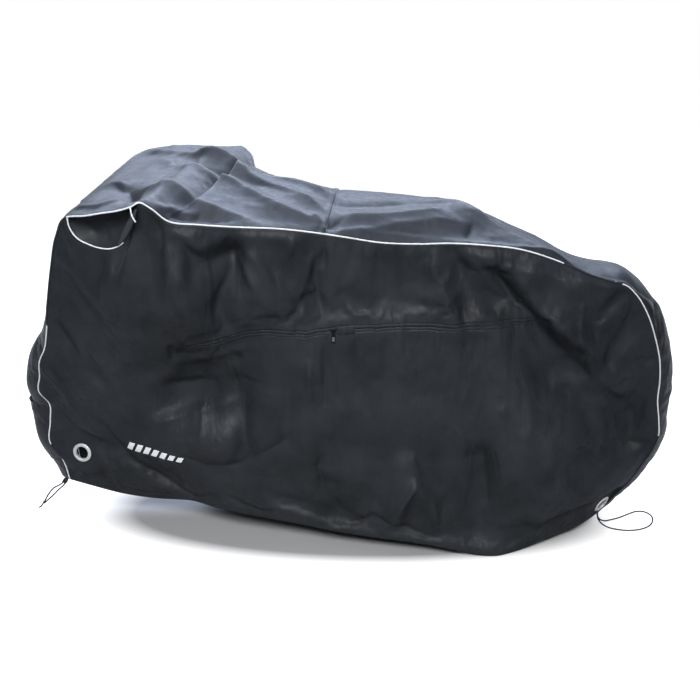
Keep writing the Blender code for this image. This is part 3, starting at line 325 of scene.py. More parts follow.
# Crisp creases of the coated cloth, sharp at the ridge line: width, height and the points they pass.
NEAR_CREASES = (
    (0.022, 0.014, (0.194, 0.985), (0.246, 0.936), (0.325, 0.963)),
    (0.02, -0.009, (0.19, 0.945), (0.246, 0.9), (0.33, 0.925)),
    (0.022, -0.009, (0.322, 0.96), (0.294, 0.871), (0.25, 0.76)),
    (0.018, 0.007, (0.331, 0.963), (0.47, 0.95)),
    (0.022, 0.008, (0.321, 0.943), (0.378, 0.888), (0.407, 0.813)),
    (0.014, -0.005, (0.21, 0.94), (0.215, 0.858)),
    (0.016, -0.006, (0.125, 0.959), (0.124, 0.875)),
    (0.026, 0.013, (0.883, 0.894), (0.96, 0.866), (1.035, 0.852), (1.113, 0.834), (1.193, 0.813),
     (1.273, 0.795)),
    (0.026, -0.01, (0.841, 0.899), (0.861, 0.843), (0.884, 0.78), (0.894, 0.717)),
    (0.022, 0.008, (0.878, 0.88), (0.918, 0.847), (0.968, 0.788), (1.04, 0.689)),
    (0.022, -0.01, (0.936, 0.85), (0.996, 0.804), (1.063, 0.732)),
    (0.026, 0.012, (1.001, 0.835), (1.039, 0.81), (1.089, 0.752), (1.126, 0.694)),
    (0.03, -0.01, (0.957, 0.828), (1.064, 0.699), (1.196, 0.572), (1.41, 0.379)),
    (0.024, 0.008, (1.1, 0.73), (1.33, 0.52)),
    (0.01, 0.006, (0.199, 0.94), (0.208, 0.859)),
    (0.008, -0.006, (0.141, 1.029), (0.156, 0.977)),
    (0.018, 0.008, (0.314, 0.921), (0.386, 0.779)),
    (0.009, 0.005, (0.456, 0.943), (0.437, 0.9)),
    (0.008, -0.005, (0.524, 0.922), (0.525, 0.873)),
    (0.012, 0.005, (0.497, 0.903), (0.465, 0.799)),
    (0.012, 0.004, (0.465, 0.799), (0.483, 0.731)),
    (0.008, -0.004, (0.872, 0.779), (0.875, 0.712)),
    (0.008, 0.003, (0.688, 0.76), (0.689, 0.711)),
    (0.008, 0.004, (0.808, 0.695), (0.812, 0.64)),
    (0.008, -0.004, (0.885, 0.69), (0.887, 0.64)),
    (0.016, -0.009, (1.44, 0.3), (1.279, 0.326)),
    (0.014, -0.007, (1.279, 0.326), (1.178, 0.341)),
    (0.014, 0.01, (1.181, 0.77), (1.186, 0.637)),
    (0.007, -0.005, (1.314, 0.589), (1.407, 0.578)),
    (0.007, 0.004, (1.352, 0.569), (1.384, 0.54)),
    (0.01, 0.005, (1.125, 0.545), (1.21, 0.505)),
    (0.009, 0.005, (1.18, 0.477), (1.258, 0.46)),
    (0.014, -0.009, (1.183, 0.324), (1.207, 0.195)),
    (0.018, 0.009, (1.116, 0.142), (1.197, 0.2)),
    (0.014, -0.008, (-0.2, 0.692), (-0.156, 0.614)),
    (0.01, 0.007, (-0.284, 0.536), (-0.218, 0.472)),
    (0.009, 0.004, (-0.006, 0.723), (0.009, 0.657)),
    (0.008, 0.004, (-0.136, 0.618), (-0.129, 0.555)),
    (0.02, -0.009, (0.091, 0.514), (0.211, 0.521)),
    (0.014, -0.007, (0.251, 0.695), (0.302, 0.598)),
    (0.022, 0.009, (0.04, 0.4), (0.277, 0.475)),
    (0.009, 0.005, (0.186, 0.457), (0.185, 0.372)),
    (0.02, -0.004, (0.306, 0.494), (0.298, 0.341)),
    (0.012, -0.006, (0.118, 0.296), (0.189, 0.27)),
    (0.012, -0.007, (0.189, 0.27), (0.283, 0.288)),
    (0.014, -0.007, (0.283, 0.288), (0.438, 0.396)),
    (0.024, -0.012, (0.49, 0.93), (0.515, 0.74)),
    (0.024, 0.012, (0.766, 0.28), (0.7, 0.11)),
    (0.024, 0.012, (0.766, 0.28), (0.832, 0.11)),
    (0.014, -0.008, (-0.109, 0.383), (-0.066, 0.244)),
    (0.014, -0.009, (-0.066, 0.244), (0.045, 0.162)),
    (0.012, -0.007, (0.045, 0.162), (0.143, 0.107)),
    (0.007, 0.004, (0.483, 0.62), (0.482, 0.51)),
    (0.007, -0.004, (0.525, 0.66), (0.523, 0.494)),
    (0.007, -0.004, (0.304, 0.551), (0.352, 0.549)),
    (0.014, -0.007, (0.509, 0.326), (0.511, 0.211)),
    (0.011, 0.008, (0.766, 0.269), (0.7, 0.14)),
    (0.01, 0.006, (0.766, 0.269), (0.814, 0.221)),
    (0.011, 0.007, (0.814, 0.221), (0.842, 0.105)),
    (0.009, -0.005, (0.856, 0.208), (0.839, 0.105)),
    (0.008, 0.004, (0.872, 0.418), (0.896, 0.375)),
    (0.008, 0.004, (0.755, 0.343), (0.776, 0.295)),
    (0.007, 0.003, (0.996, 0.493), (1, 0.461)),
    (0.022, -0.01, (0.949, 0.378), (0.976, 0.168)),
    (0.01, -0.006, (0.587, 0.09), (0.658, 0.126), (0.723, 0.108), (0.827, 0.058)),
)
FAR_CREASES = (
    (0.014, 0.008, (0.3, 0.99), (0.36, 0.8)),
    (0.012, -0.007, (0.2, 0.94), (0.22, 0.76)),
    (0.014, -0.009, (0.86, 0.9), (0.96, 0.74)),
    (0.018, -0.01, (0.96, 0.74), (1.19, 0.5)),
    (0.016, -0.008, (1.19, 0.5), (1.4, 0.33)),
    (0.014, 0.007, (0.84, 0.89), (0.9, 0.7)),
    (0.014, 0.007, (1.06, 0.8), (1.12, 0.6)),
    (0.012, -0.006, (0.42, 0.9), (0.44, 0.7)),
    (0.012, 0.004, (0.56, 0.88), (0.56, 0.64)),
    (0.02, -0.008, (0.12, 0.54), (0.3, 0.48)),
    (0.014, 0.006, (0.3, 0.48), (0.34, 0.26)),
    (0.014, -0.007, (-0.1, 0.42), (-0.02, 0.22), (0.16, 0.12)),
    (0.014, 0.007, (0.64, 0.44), (0.6, 0.12)),
    (0.014, -0.007, (0.82, 0.32), (0.86, 0.09)),
    (0.018, -0.008, (0.98, 0.42), (1, 0.16)),
    (0.016, 0.008, (1.16, 0.32), (1.19, 0.14)),
    (0.014, -0.007, (-0.19, 0.7), (-0.13, 0.58)),
    (0.012, 0.005, (0.04, 0.76), (0.02, 0.62)),
    (0.012, 0.004, (0.7, 0.78), (0.72, 0.56)),
)
TOP_CREASES = (
    (0.022, 0.012, (0.05, 0.1), (0.203, -0.059), (0.289, -0.067), (0.419, -0.169), (0.494, -0.196)),
    (0.022, 0.01, (0.167, 0.116), (0.37, 0.011), (0.516, -0.025)),
    (0.022, 0.012, (-0.01, 0.248), (0.239, 0.064), (0.377, -0.046), (0.498, -0.114)),
    (0.024, 0.01, (0.06, -0.16), (0.22, -0.218), (0.345, -0.231)),
    (0.018, -0.008, (0.176, -0.292), (0.239, -0.262), (0.303, -0.25)),
    (0.016, 0.006, (0.044, 0.298), (0.175, 0.137), (0.252, 0.085)),
    (0.018, -0.007, (0.12, 0.03), (0.3, -0.02), (0.45, -0.09)),
    (0.01, 0.008, (0.489, -0.164), (0.523, -0.207)),
    (0.01, -0.008, (0.528, -0.201), (0.562, -0.16)),
    (0.024, 0.009, (0.539, -0.189), (0.59, -0.134), (0.709, -0.101), (0.811, -0.07)),
    (0.02, -0.006, (0.532, -0.076), (0.709, -0.04), (0.837, -0.02)),
    (0.02, 0.008, (0.576, -0.196), (0.709, -0.136), (0.835, -0.1)),
    (0.02, -0.018, (0.011, -0.115), (0.041, -0.15)),
    (0.02, -0.024, (0.041, -0.15), (0.085, -0.233)),
    (0.018, 0.01, (-0.021, -0.078), (0.011, -0.099), (0.056, -0.183)),
    (0.009, 0.006, (-0.062, -0.237), (0.006, -0.258), (0.056, -0.224)),
    (0.034, 0.014, (0.868, -0.019), (0.98, -0.075), (1.059, -0.12), (1.15, -0.14)),
    (0.026, -0.014, (0.934, -0.03), (1.062, -0.075), (1.167, -0.09), (1.292, -0.085)),
    (0.02, 0.006, (0.9, 0.06), (1.15, 0.1)),
    (0.024, 0.006, (0.56, 0.08), (0.86, 0.06)),
    (0.008, -0.007, (0.889, -0.097), (0.873, -0.142)),
)


# ------------------------------------------------------------------ curves and surfaces
class Line:
    """A smooth line through the rows of a table, followed by its length."""

    def __init__(self, rows):
        rows = np.array(rows, dtype=float)
        steps = np.linalg.norm(np.diff(rows[:, :3], axis=0), axis=1)
        self.rows = rows[np.concatenate(([True], steps > 1e-7))]
        steps = steps[steps > 1e-7]
        self.marks = np.concatenate(([0.0], np.cumsum(steps)))
        self.slopes = np.gradient(self.rows, self.marks, axis=0)
        self.length = self.marks[-1]

    def at(self, where):
        """The rows at these lengths along the line."""
        where = np.clip(np.asarray(where, dtype=float), 0.0, self.length)
        i = np.clip(np.searchsorted(self.marks, where, side="right") - 1, 0, len(self.marks) - 2)
        step = self.marks[i + 1] - self.marks[i]
        t = ((where - self.marks[i]) / step)[..., None]
        step = step[..., None]
        a, b = self.rows[i], self.rows[i + 1]
        return ((2 * t**3 - 3 * t**2 + 1) * a + (t**3 - 2 * t**2 + t) * self.slopes[i] * step
                + (3 * t**2 - 2 * t**3) * b + (t**3 - t**2) * self.slopes[i + 1] * step)

    def share(self, shares):
        """The rows at these shares of the whole line."""
        return self.at(np.asarray(shares) * self.length)


# What shapes each side panel: its swells, its soft folds and its creases.
SIDE_FORMS = {-1: (NEAR_SHAPE, NEAR_FOLDS, NEAR_CREASES), 1: (FAR_SHAPE, FAR_FOLDS, FAR_CREASES)}
SEAM_LINE = Line(SEAM)
HEM_LINE = Line(HEM)
LIP_LINE = Line(LIP)
FRONT_MARK, MOUTH_MARK, REAR_MARK = (SEAM_LINE.marks[row] for row in (FRONT_CORNER, MOUTH_END, REAR_CORNER))
MIRROR_Y = {-1: (1, -1, 1), 1: (1, 1, 1)}


def unit(v):
    """Vectors brought to length one."""
    return v / np.maximum(np.linalg.norm(v, axis=-1, keepdims=True), 1e-12)


def fade(x):
    """A smooth rise from 0 at x = 0 to 1 at x = 1."""
    x = np.clip(x, 0.0, 1.0)
    return x * x * (3 - 2 * x)


def seam_points(table, side):
    """Points of the near or far seam from rows of its table."""
    x, half, z, far_dx, far_dz = np.moveaxis(table[..., :5], -1, 0)
    moved = 0.5 * (1 + side)
    return np.stack((x + moved * far_dx, side * half, z + moved * far_dz), axis=-1)


def pulled_in(edge, inner, gap):
    """A cloth's edge, moved in so that it stays clear of the piping."""
    before = np.concatenate((2 * edge[:1] - edge[1:2], edge[:-1]))
    after = np.concatenate((edge[1:], 2 * edge[-1:] - edge[-2:-1]))
    span = unit(after - edge) - unit(before - edge)
    half_angle_sine = np.linalg.norm(span, axis=-1, keepdims=True) / 2
    along = unit(span)
    inward = inner - edge
    inward = inward - along * (inward * along).sum(-1, keepdims=True)
    return edge + unit(inward) * gap / half_angle_sine


def swell_heights(swells, x, z):
    """Height of broad soft swells and hollows."""
    total = np.zeros_like(x)
    for at_x, at_z, reach_x, reach_z, height in swells:
        total += height * np.exp(-((x - at_x) / reach_x) ** 2 - ((z - at_z) / reach_z) ** 2)
    return total


def straight_lengths(creases):
    """Each crease as its straight lengths: from, to, width, height."""
    return [(*a, *b, width, height) for width, height, *points in creases for a, b in zip(points, points[1:])]


def fold_heights(folds, first, second, sharp=False):
    """Height of soft folds, or of creases that are sharp at their ridge."""
    total = np.zeros_like(first)
    for a0, b0, a1, b1, width, height in folds:
        along = np.array((a1 - a0, b1 - b0))
        length = np.hypot(*along)
        along = along / length
        run = (first - a0) * along[0] + (second - b0) * along[1]
        off = (first - a0) * -along[1] + (second - b0) * along[0]
        reach = width * (2.2 if sharp else 1.0)
        ends = fade((run + reach) / (2 * reach)) * fade((length + reach - run) / (2 * reach))
        if sharp:
            total += height * np.exp(0.30 - np.hypot(off / width, 0.30)) * ends
        else:
            total += height * np.exp(-(off / width) ** 2) * ends
    return total


def plain_side(side, marks, v):
    """A side panel with no folds, ruled from its hem to its top edge and bent to the seam at its ends."""
    u = (marks - FRONT_MARK) / (REAR_MARK - FRONT_MARK)
    left = seam_points(SEAM_LINE.at(v * FRONT_MARK), side)
    right = seam_points(SEAM_LINE.at(SEAM_LINE.length - v * (SEAM_LINE.length - REAR_MARK)), side)
    top = seam_points(SEAM_LINE.at(marks), side)
    if side < 0:
        lip = LIP_LINE.share(np.clip((marks - FRONT_MARK) / (MOUTH_MARK - FRONT_MARK), 0, 1)) * MIRROR_Y[-1]
        top = np.where((marks < MOUTH_MARK)[:, None], lip, top)
    hem = HEM_LINE.share(u) * MIRROR_Y[side]
    up = v[..., None]
    first, last = (seam_points(SEAM_LINE.at(mark), side) for mark in (0.0, SEAM_LINE.length))
    front_top, rear_top = (seam_points(SEAM_LINE.at(mark), side) for mark in (FRONT_MARK, REAR_MARK))
    near_front = ((1 - u) ** SEAM_PULL)[None, :, None]
    near_rear = (u ** SEAM_PULL)[None, :, None]
    return ((1 - up) * hem + up * top
            + near_front * (left - (1 - up) * first - up * front_top)
            + near_rear * (right - (1 - up) * last - up * rear_top))


def above_zip(x, z):
    """Height above the zip's line."""
    return z - np.interp(x, *np.array(ZIP_LINE).T)


def along_zip(x, past=(0.0, 0.0)):
    """Whether points lie between the zip's ends, or up to a little past them."""
    return (x > ZIP_LINE[0][0] - past[0]) & (x < ZIP_LINE[-1][0] + past[1])


def from_spot(grid, spot):
    """Distance of a side panel's points from a spot on it, seen from the side."""
    return np.hypot(grid[..., 0] - spot[0], grid[..., 2] - spot[1])


def from_ends(count):
    """Steps from the nearer end of a row."""
    return np.minimum(np.arange(count), np.arange(count)[::-1])


def lengths_up(grid):
    """Length of cloth from a grid's first row to each of its points."""
    return np.cumsum(np.linalg.norm(np.diff(grid, axis=0, prepend=grid[:1]), axis=2), axis=0)


def row_shares(u):
    """Height shares of the rows at these columns, with one row on each side of the zip's slot."""
    fine = np.linspace(0.3, 0.95, 131)
    ladder = np.repeat(fine[:, None], len(u), axis=1)
    points = plain_side(-1, FRONT_MARK + u * (REAR_MARK - FRONT_MARK), ladder)
    above = above_zip(points[..., 0], points[..., 2])
    shares = []
    for column in range(len(u)):
        low, high = np.interp((-ZIP_HALF, ZIP_HALF), above[:, column], fine)
        below = np.linspace(0, low, ROWS_BELOW_ZIP + 1)
        shares.append(np.concatenate((below, np.linspace(high, 1, ROWS_ABOVE_ZIP + 1))))
    return np.array(shares).T


def column_marks():
    """Where the columns of a side panel meet the seam, closer together along the vent."""
    vent = np.linspace(FRONT_MARK, MOUTH_MARK, MOUTH_COLUMNS + 1)
    return np.concatenate((vent, np.linspace(MOUTH_MARK, REAR_MARK, COLUMNS - MOUTH_COLUMNS + 1)[1:]))


def stations():
    """Where the top's rows cross the seams: at every row and column of the side panels."""
    shares = row_shares(np.array((0.0, 1.0)))
    up = shares[:, 0] * FRONT_MARK
    down = SEAM_LINE.length - shares[::-1, 1] * (SEAM_LINE.length - REAR_MARK)
    return np.concatenate((up, column_marks()[1:], down[1:]))


def crumple(grid, seed, scales):
    """The small unevenness that a packed coated cloth keeps: ridged noise, in metres, one layer a scale."""
    flat = grid.reshape(-1, 3)
    total = np.zeros(len(flat))
    for number, (stretch, height) in enumerate(scales):
        shift = Vector((seed * 7.3 + number * 3.1, seed * 2.7, seed * 5.9))
        squeeze = Vector([1 / s for s in stretch])
        for i, point in enumerate(flat):
            spot = Vector((point[0] * squeeze.x, point[1] * squeeze.y, point[2] * squeeze.z)) + shift
            total[i] += height * (0.5 - abs(noise.noise(spot)) * 1.8)
    return total.reshape(grid.shape[:-1])


def pucker(along, off, seed):
    """Short gathers across a sewn line, which the thread has drawn up. off is the distance from it."""
    def unevenness(a, pitch, layer):
        return noise.noise(Vector((a * pitch, seed, layer)))

    wave = np.vectorize(lambda a: unevenness(a, 38.0, 0.0) + 0.5 * unevenness(a, 90.0, 4.0))
    reach = np.vectorize(lambda a: 0.5 + abs(unevenness(a, 9.0, 8.0)) * 2.2)
    return PUCKER_HEIGHT * wave(along) * np.exp(-off / (PUCKER_REACH * reach(along)))


def outward(grid, side):
    """The way out of a side panel at each of its points."""
    n = unit(np.cross(np.gradient(grid, axis=1), np.gradient(grid, axis=0)))
    return n * np.sign(n[..., 1:2].mean() * side)


def lay_flat(grid, spot, facing):
    """Lay a panel flat round an eyelet, turned towards facing."""
    inner = grid[1:-1, 1:-1]
    off = from_spot(inner, spot)
    near = off < EYELET_FLAT * 1.2
    middle = inner[near].mean(axis=0)
    normal = np.linalg.svd(inner[near] - middle)[2][2]
    normal = normal * np.sign(normal[1] * facing[1])
    normal = unit(normal * (1 - EYELET_TURN) + np.array(facing) * EYELET_TURN)
    above = ((inner - middle) @ normal)[..., None] * normal
    share = fade((EYELET_FADE - off) / (EYELET_FADE - EYELET_FLAT))[..., None]
    inner -= above * share


def faded_in(sides, v, reach):
    """How much of its relief a side panel has, less and less towards its ends, top edge and hem."""
    ends, top, hem = reach
    return fade(sides / ends) * fade((1 - v) / top) * fade(v / hem)


def side_grid(side):
    """A side panel's points, its sewn border and the height shares of its rows."""
    marks = column_marks()
    u = (marks - marks[0]) / (marks[-1] - marks[0])
    v = row_shares(u)
    grid = plain_side(side, marks, v)
    border = np.concatenate((grid[:, 0], grid[-1, 1:], grid[:-1, -1][::-1])).copy()
    x, z = grid[..., 0], grid[..., 2]
    sides = np.minimum(u, 1 - u)[None, :]
    inside, folded, crisp = (faded_in(sides, v, reach) for reach in (SWELLS_FADE, FOLDS_FADE, CREASES_FADE))
    shape, folds, creases = SIDE_FORMS[side]
    out = swell_heights(shape, x, z)
    folds = swell_heights(SIDE_SWELLS, x, z) + fold_heights(folds, x, z)
    creases = SIDE_CREASE_DEPTH * fold_heights(straight_lengths(creases), x, z, sharp=True)
    rough = crumple(grid, 2 + side, SIDE_CRUMPLE)
    puckers = pucker(marks, (1 - v) * 0.55, 3.1) * fade((1 - v) / 0.03) * fade((marks - MOUTH_MARK) / 0.04)
    puckers = puckers + pucker(x, v * 0.4, 9.7) * fade(v / 0.02)
    if side < 0:
        beside = np.abs(above_zip(x, z))
        puckers = puckers + 1.2 * pucker(x, beside, 5.3) * along_zip(x, (0.0, ZIP_PAST))
    crisp = crisp * np.where(marks < MOUTH_MARK + 0.02, fade((1 - v) / 0.12), 1.0)
    drawn_up = puckers * fade(sides / 0.02)
    grid[..., 1] += side * (out * inside + folds * folded + (creases + rough) * crisp + drawn_up)
    for end, spot in EYELET_AT.items():
        facing = EYELET_FACING[end]
        lay_flat(grid, spot, (facing[0], -side * facing[1], facing[2]))
    return grid, border, v


def seat_edges(grid, border):
    """The sewn edges of a side panel go back beside the piping."""
    rows, columns = grid.shape[0] - 1, grid.shape[1] - 1
    inner = grid[:, 1:-1][:-1]
    beside = np.concatenate((grid[:-1, 1], grid[-2:-1, 1], inner[-1], grid[-2:-1, -2], grid[:-1, -2][::-1]))
    moved = pulled_in(border, beside, EDGE_GAP)
    grid[:, 0] = moved[:rows + 1]
    grid[-1] = moved[rows:rows + columns + 1]
    grid[:, -1] = moved[rows + columns:][::-1]
    return grid


def top_grid():
    """The top's points and its two sewn edges."""
    marks = stations()
    table = SEAM_LINE.at(marks)
    near, far = seam_points(table, -1), seam_points(table, 1)
    crown, flat = table[:, 5], table[:, 6]
    # Behind the grips the cloth is stretched from the middle of the bars, so it slopes down gently there.
    behind, reach, height = BAR_SLOPE
    crown = crown + height * np.exp(-((table[:, 0] - behind) / reach) ** 2) * (table[:, 2] > 0.9)
    path = np.gradient(0.5 * (near + far), axis=0)
    out = unit(np.stack((-path[:, 2], np.zeros(len(path)), path[:, 0]), axis=-1))
    t = np.linspace(-1, 1, ACROSS + 1)
    chord = 0.5 * ((1 - t)[None, :, None] * near[:, None] + (1 + t)[None, :, None] * far[:, None])
    rise = crown[:, None] * (1 - np.abs(t)[None] ** flat[:, None])
    across = (1 - np.abs(t))[None]
    on_top = fade((table[:, 2] - 0.80) / 0.08)[:, None]
    x, y = chord[..., 0], chord[..., 1]
    rise = rise + TOP_FOLD_DEPTH * fold_heights(TOP_FOLDS, x, y) * on_top * fade(across / 0.3)
    creases = TOP_CREASE_DEPTH * fold_heights(straight_lengths(TOP_CREASES), x, y, sharp=True) * on_top
    rough = crumple(chord, 5, TOP_CRUMPLE) + pucker(marks[:, None], across * 0.25, 1.9)
    rise = rise + (creases + rough) * fade(across / 0.08)
    return chord + out[:, None] * rise[..., None], near, far


# ------------------------------------------------------------------ meshes
def linear(colour):
    """An sRGB hex value as the linear colour that a shader takes."""
    parts = [int(colour[i:i + 2], 16) / 255 for i in (1, 3, 5)]
    return tuple(c / 12.92 if c < 0.04045 else ((c + 0.055) / 1.055) ** 2.4 for c in parts) + (1.0,)


def place(name, mesh, material):
    """A piece whose mesh holds the model's own frame."""
    piece = bpy.data.objects.new(name, mesh)
    mesh.materials.clear()
    mesh.materials.append(material)
    bpy.context.scene.collection.objects.link(piece)
    return piece


def mesh_of(bm, name, smooth=True):
    """A mesh from what has been built, which is then freed."""
    mesh = bpy.data.meshes.new(name)
    bm.to_mesh(mesh)
    bm.free()
    if smooth:
        mesh.shade_smooth()
    return mesh


def grid_mesh(name, grid, out, left_out=None, uv=None):
    """Quads over a grid of points, facing out. left_out(i, j) drops a cell."""
    rows, columns = grid.shape[:2]
    bm = bmesh.new()
    verts = [[bm.verts.new(Vector(point) + Vector(SHIFT)) for point in row] for row in grid]
    layer = bm.loops.layers.uv.new("cloth") if uv is not None else None
    for i in range(rows - 1):
        for j in range(columns - 1):
            if left_out and left_out(i, j):
                continue
            face = bm.faces.new((verts[i][j], verts[i][j + 1], verts[i + 1][j + 1], verts[i + 1][j]))
            if layer:
                for loop, (a, b) in zip(face.loops, ((i, j), (i, j + 1), (i + 1, j + 1), (i + 1, j))):
                    loop[layer].uv = uv[a, b]
    bmesh.ops.delete(bm, geom=[v for v in bm.verts if not v.link_faces], context="VERTS")
    bm.normal_update()
    if sum((face.normal * face.calc_area() for face in bm.faces), Vector()).dot(Vector(out)) < 0:
        bmesh.ops.reverse_faces(bm, faces=bm.faces)
    return mesh_of(bm, name)


def thicken(piece, thickness):
    """Give a cloth its thickness, half on each side."""
    solid = piece.modifiers.new("thickness", "SOLIDIFY")
    solid.thickness = thickness
    solid.offset = 0.0
    solid.use_even_offset = False
    apply_all(piece)


def apply_all(piece):
    """Every modifier is applied, so that the piece is a plain mesh."""
    bpy.context.view_layer.update()
    graph = bpy.context.evaluated_depsgraph_get()
    made = bpy.data.meshes.new_from_object(piece.evaluated_get(graph), depsgraph=graph)
    piece.modifiers.clear()
    made.name, piece.data = piece.data.name, made


def flat_sizes(grid):
    """Real lengths along a grid's rows and columns, for a pattern that follows the cloth."""
    along = np.linalg.norm(np.diff(grid, axis=1), axis=2)
    up = np.linalg.norm(np.diff(grid, axis=0), axis=2)
    u = np.concatenate((np.zeros((grid.shape[0], 1)), np.cumsum(along, axis=1)), axis=1)
    v = np.concatenate((np.zeros((1, grid.shape[1])), np.cumsum(up, axis=0)), axis=0)
    return np.stack((u - u.mean(axis=1, keepdims=True), v), axis=-1)


def cloth_piece(name, grid, material, thickness, lift=(0, -1, 0)):
    """A thin cloth over a grid of points, its pattern in real lengths."""
    piece = place(name, grid_mesh(name, grid, lift, uv=flat_sizes(grid)), material)
    thicken(piece, thickness)
    return piece


def tube(name, points, radius, material, sides=9, taper=None):
    """A closed round tube along points, with rounded ends and its own length as UV."""
    points = np.array(points, dtype=float)
    ahead = unit(np.gradient(points, axis=0))
    lift = np.array((0.0, 0.0, 1.0)) if abs(ahead[0][2]) < 0.9 else np.array((0.0, 1.0, 0.0))
    side = unit(np.cross(ahead[0], lift))
    bm = bmesh.new()
    layer = bm.loops.layers.uv.new("length")
    marks = np.concatenate(([0.0], np.cumsum(np.linalg.norm(np.diff(points, axis=0), axis=1))))
    rings = []
    radii = np.full(len(points), radius) if taper is None else radius * np.asarray(taper)
    for i, point in enumerate(points):
        side = unit(side - ahead[i] * (side @ ahead[i]))
        other = np.cross(ahead[i], side)
        angles = np.linspace(0, 2 * np.pi, sides, endpoint=False)
        rings.append([bm.verts.new(Vector(point + radii[i] * (np.cos(a) * side + np.sin(a) * other) + SHIFT))
                      for a in angles])
    for i in range(len(rings) - 1):
        for k in range(sides):
            m = (k + 1) % sides
            face = bm.faces.new((rings[i][k], rings[i][m], rings[i + 1][m], rings[i + 1][k]))
            for loop, (r, c) in zip(face.loops, ((i, k), (i, k + 1), (i + 1, k + 1), (i + 1, k))):
                loop[layer].uv = (marks[r], c / sides)
    for ring, i, sign in ((rings[0], 0, -1), (rings[-1], -1, 1)):
        tip = bm.verts.new(Vector(points[i] + sign * ahead[i] * radii[i] * 0.35 + SHIFT))
        for k in range(sides):
            bm.faces.new((ring[k], ring[(k + 1) % sides], tip))
    bmesh.ops.recalc_face_normals(bm, faces=bm.faces)
    return place(name, mesh_of(bm, name), material)


def settle(name, grid, pins, settling):
    """Let the cloth find its own wrinkles: a short simulation, held at its pins, with its moves capped."""
    frames, cap, grow, gravity = settling
    mesh = grid_mesh(name + "_settling", grid, (0, 0, 1))
    piece = bpy.data.objects.new(name + "_settling", mesh)
    bpy.context.scene.collection.objects.link(piece)
    group = piece.vertex_groups.new(name="pinned")
    for i, weight in enumerate(pins.reshape(-1)):
        group.add([i], float(weight), "REPLACE")
    cloth = piece.modifiers.new("cloth", "CLOTH")
    for setting, value in SETTLING_CLOTH.items():
        setattr(cloth.settings, setting, value)
    cloth.settings.shrink_min = -grow
    cloth.settings.effector_weights.gravity = gravity
    cloth.collision_settings.use_collision = False
    cloth.collision_settings.use_self_collision = False
    cloth.point_cache.frame_start = 1
    cloth.point_cache.frame_end = frames
    scene = bpy.context.scene
    scene.frame_start, scene.frame_end = 1, frames
    for number in range(1, frames + 1):
        scene.frame_set(number)
    graph = bpy.context.evaluated_depsgraph_get()
    found = piece.evaluated_get(graph).to_mesh()
    points = np.empty(len(found.vertices) * 3)
    found.vertices.foreach_get("co", points)
    piece.evaluated_get(graph).to_mesh_clear()
    bpy.data.objects.remove(piece)
    scene.frame_set(1)
    moved = points.reshape(grid.shape) - SHIFT - grid
    size = np.linalg.norm(moved, axis=-1, keepdims=True)
    return moved * (cap * np.tanh(size / cap) / np.maximum(size, 1e-9))


def finer(field, rows, columns):
    """A coarse field of moves, read smoothly at every row and column of the full grid."""
    def along(a, count):
        at = np.linspace(0, a.shape[0] - 1, count)
        i = np.clip(at.astype(int), 0, a.shape[0] - 2)
        t = (at - i).reshape((-1,) + (1,) * (a.ndim - 1))
        p0, p1, p2, p3 = a[np.maximum(i - 1, 0)], a[i], a[i + 1], a[np.minimum(i + 2, a.shape[0] - 1)]
        return p1 + 0.5 * t * (p2 - p0 + t * (2 * p0 - 5 * p1 + 4 * p2 - p3 + t * (3 * (p1 - p2) + p3 - p0)))
    once = along(field, rows)
    return along(once.swapaxes(0, 1), columns).swapaxes(0, 1)


# ------------------------------------------------------------------ materials
# Between these heights the top cloth goes from its darker painted shade colour to its own tone.
PAINTED_SHADE_HEIGHTS = (-0.33, -0.13)
# Threads lie about 0.5 mm apart; they are drawn 2.2 mm apart so that they show. As a wave's scale:
THREADS = 1 / 0.0022 / 6.2832
WHITE = (1, 1, 1, 1)


def node(tree, kind, inputs=None, **settings):
    """One shader node: its settings by name, and its inputs as values or as sockets to link from."""
    made = tree.nodes.new(kind)
    for key, value in settings.items():
        setattr(made, key, value)
    for key, value in (inputs or {}).items():
        socket = made.inputs[key]
        if isinstance(value, bpy.types.NodeSocket):
            tree.links.new(value, socket)
        else:
            socket.default_value = value
    return made


def finish(name, colour, roughness, metallic=0.0, **sockets):
    """An empty material with its Principled shader set. Returns the material, its tree and the shader."""
    made = bpy.data.materials.new(name)
    made.use_nodes = True
    shader = made.node_tree.nodes["Principled BSDF"]
    shader.inputs["Base Color"].default_value = linear(colour)
    shader.inputs["Roughness"].default_value = roughness
    shader.inputs["Metallic"].default_value = metallic
    for key, value in sockets.items():
        shader.inputs[key.replace("_", " ")].default_value = value
    return made, made.node_tree, shader


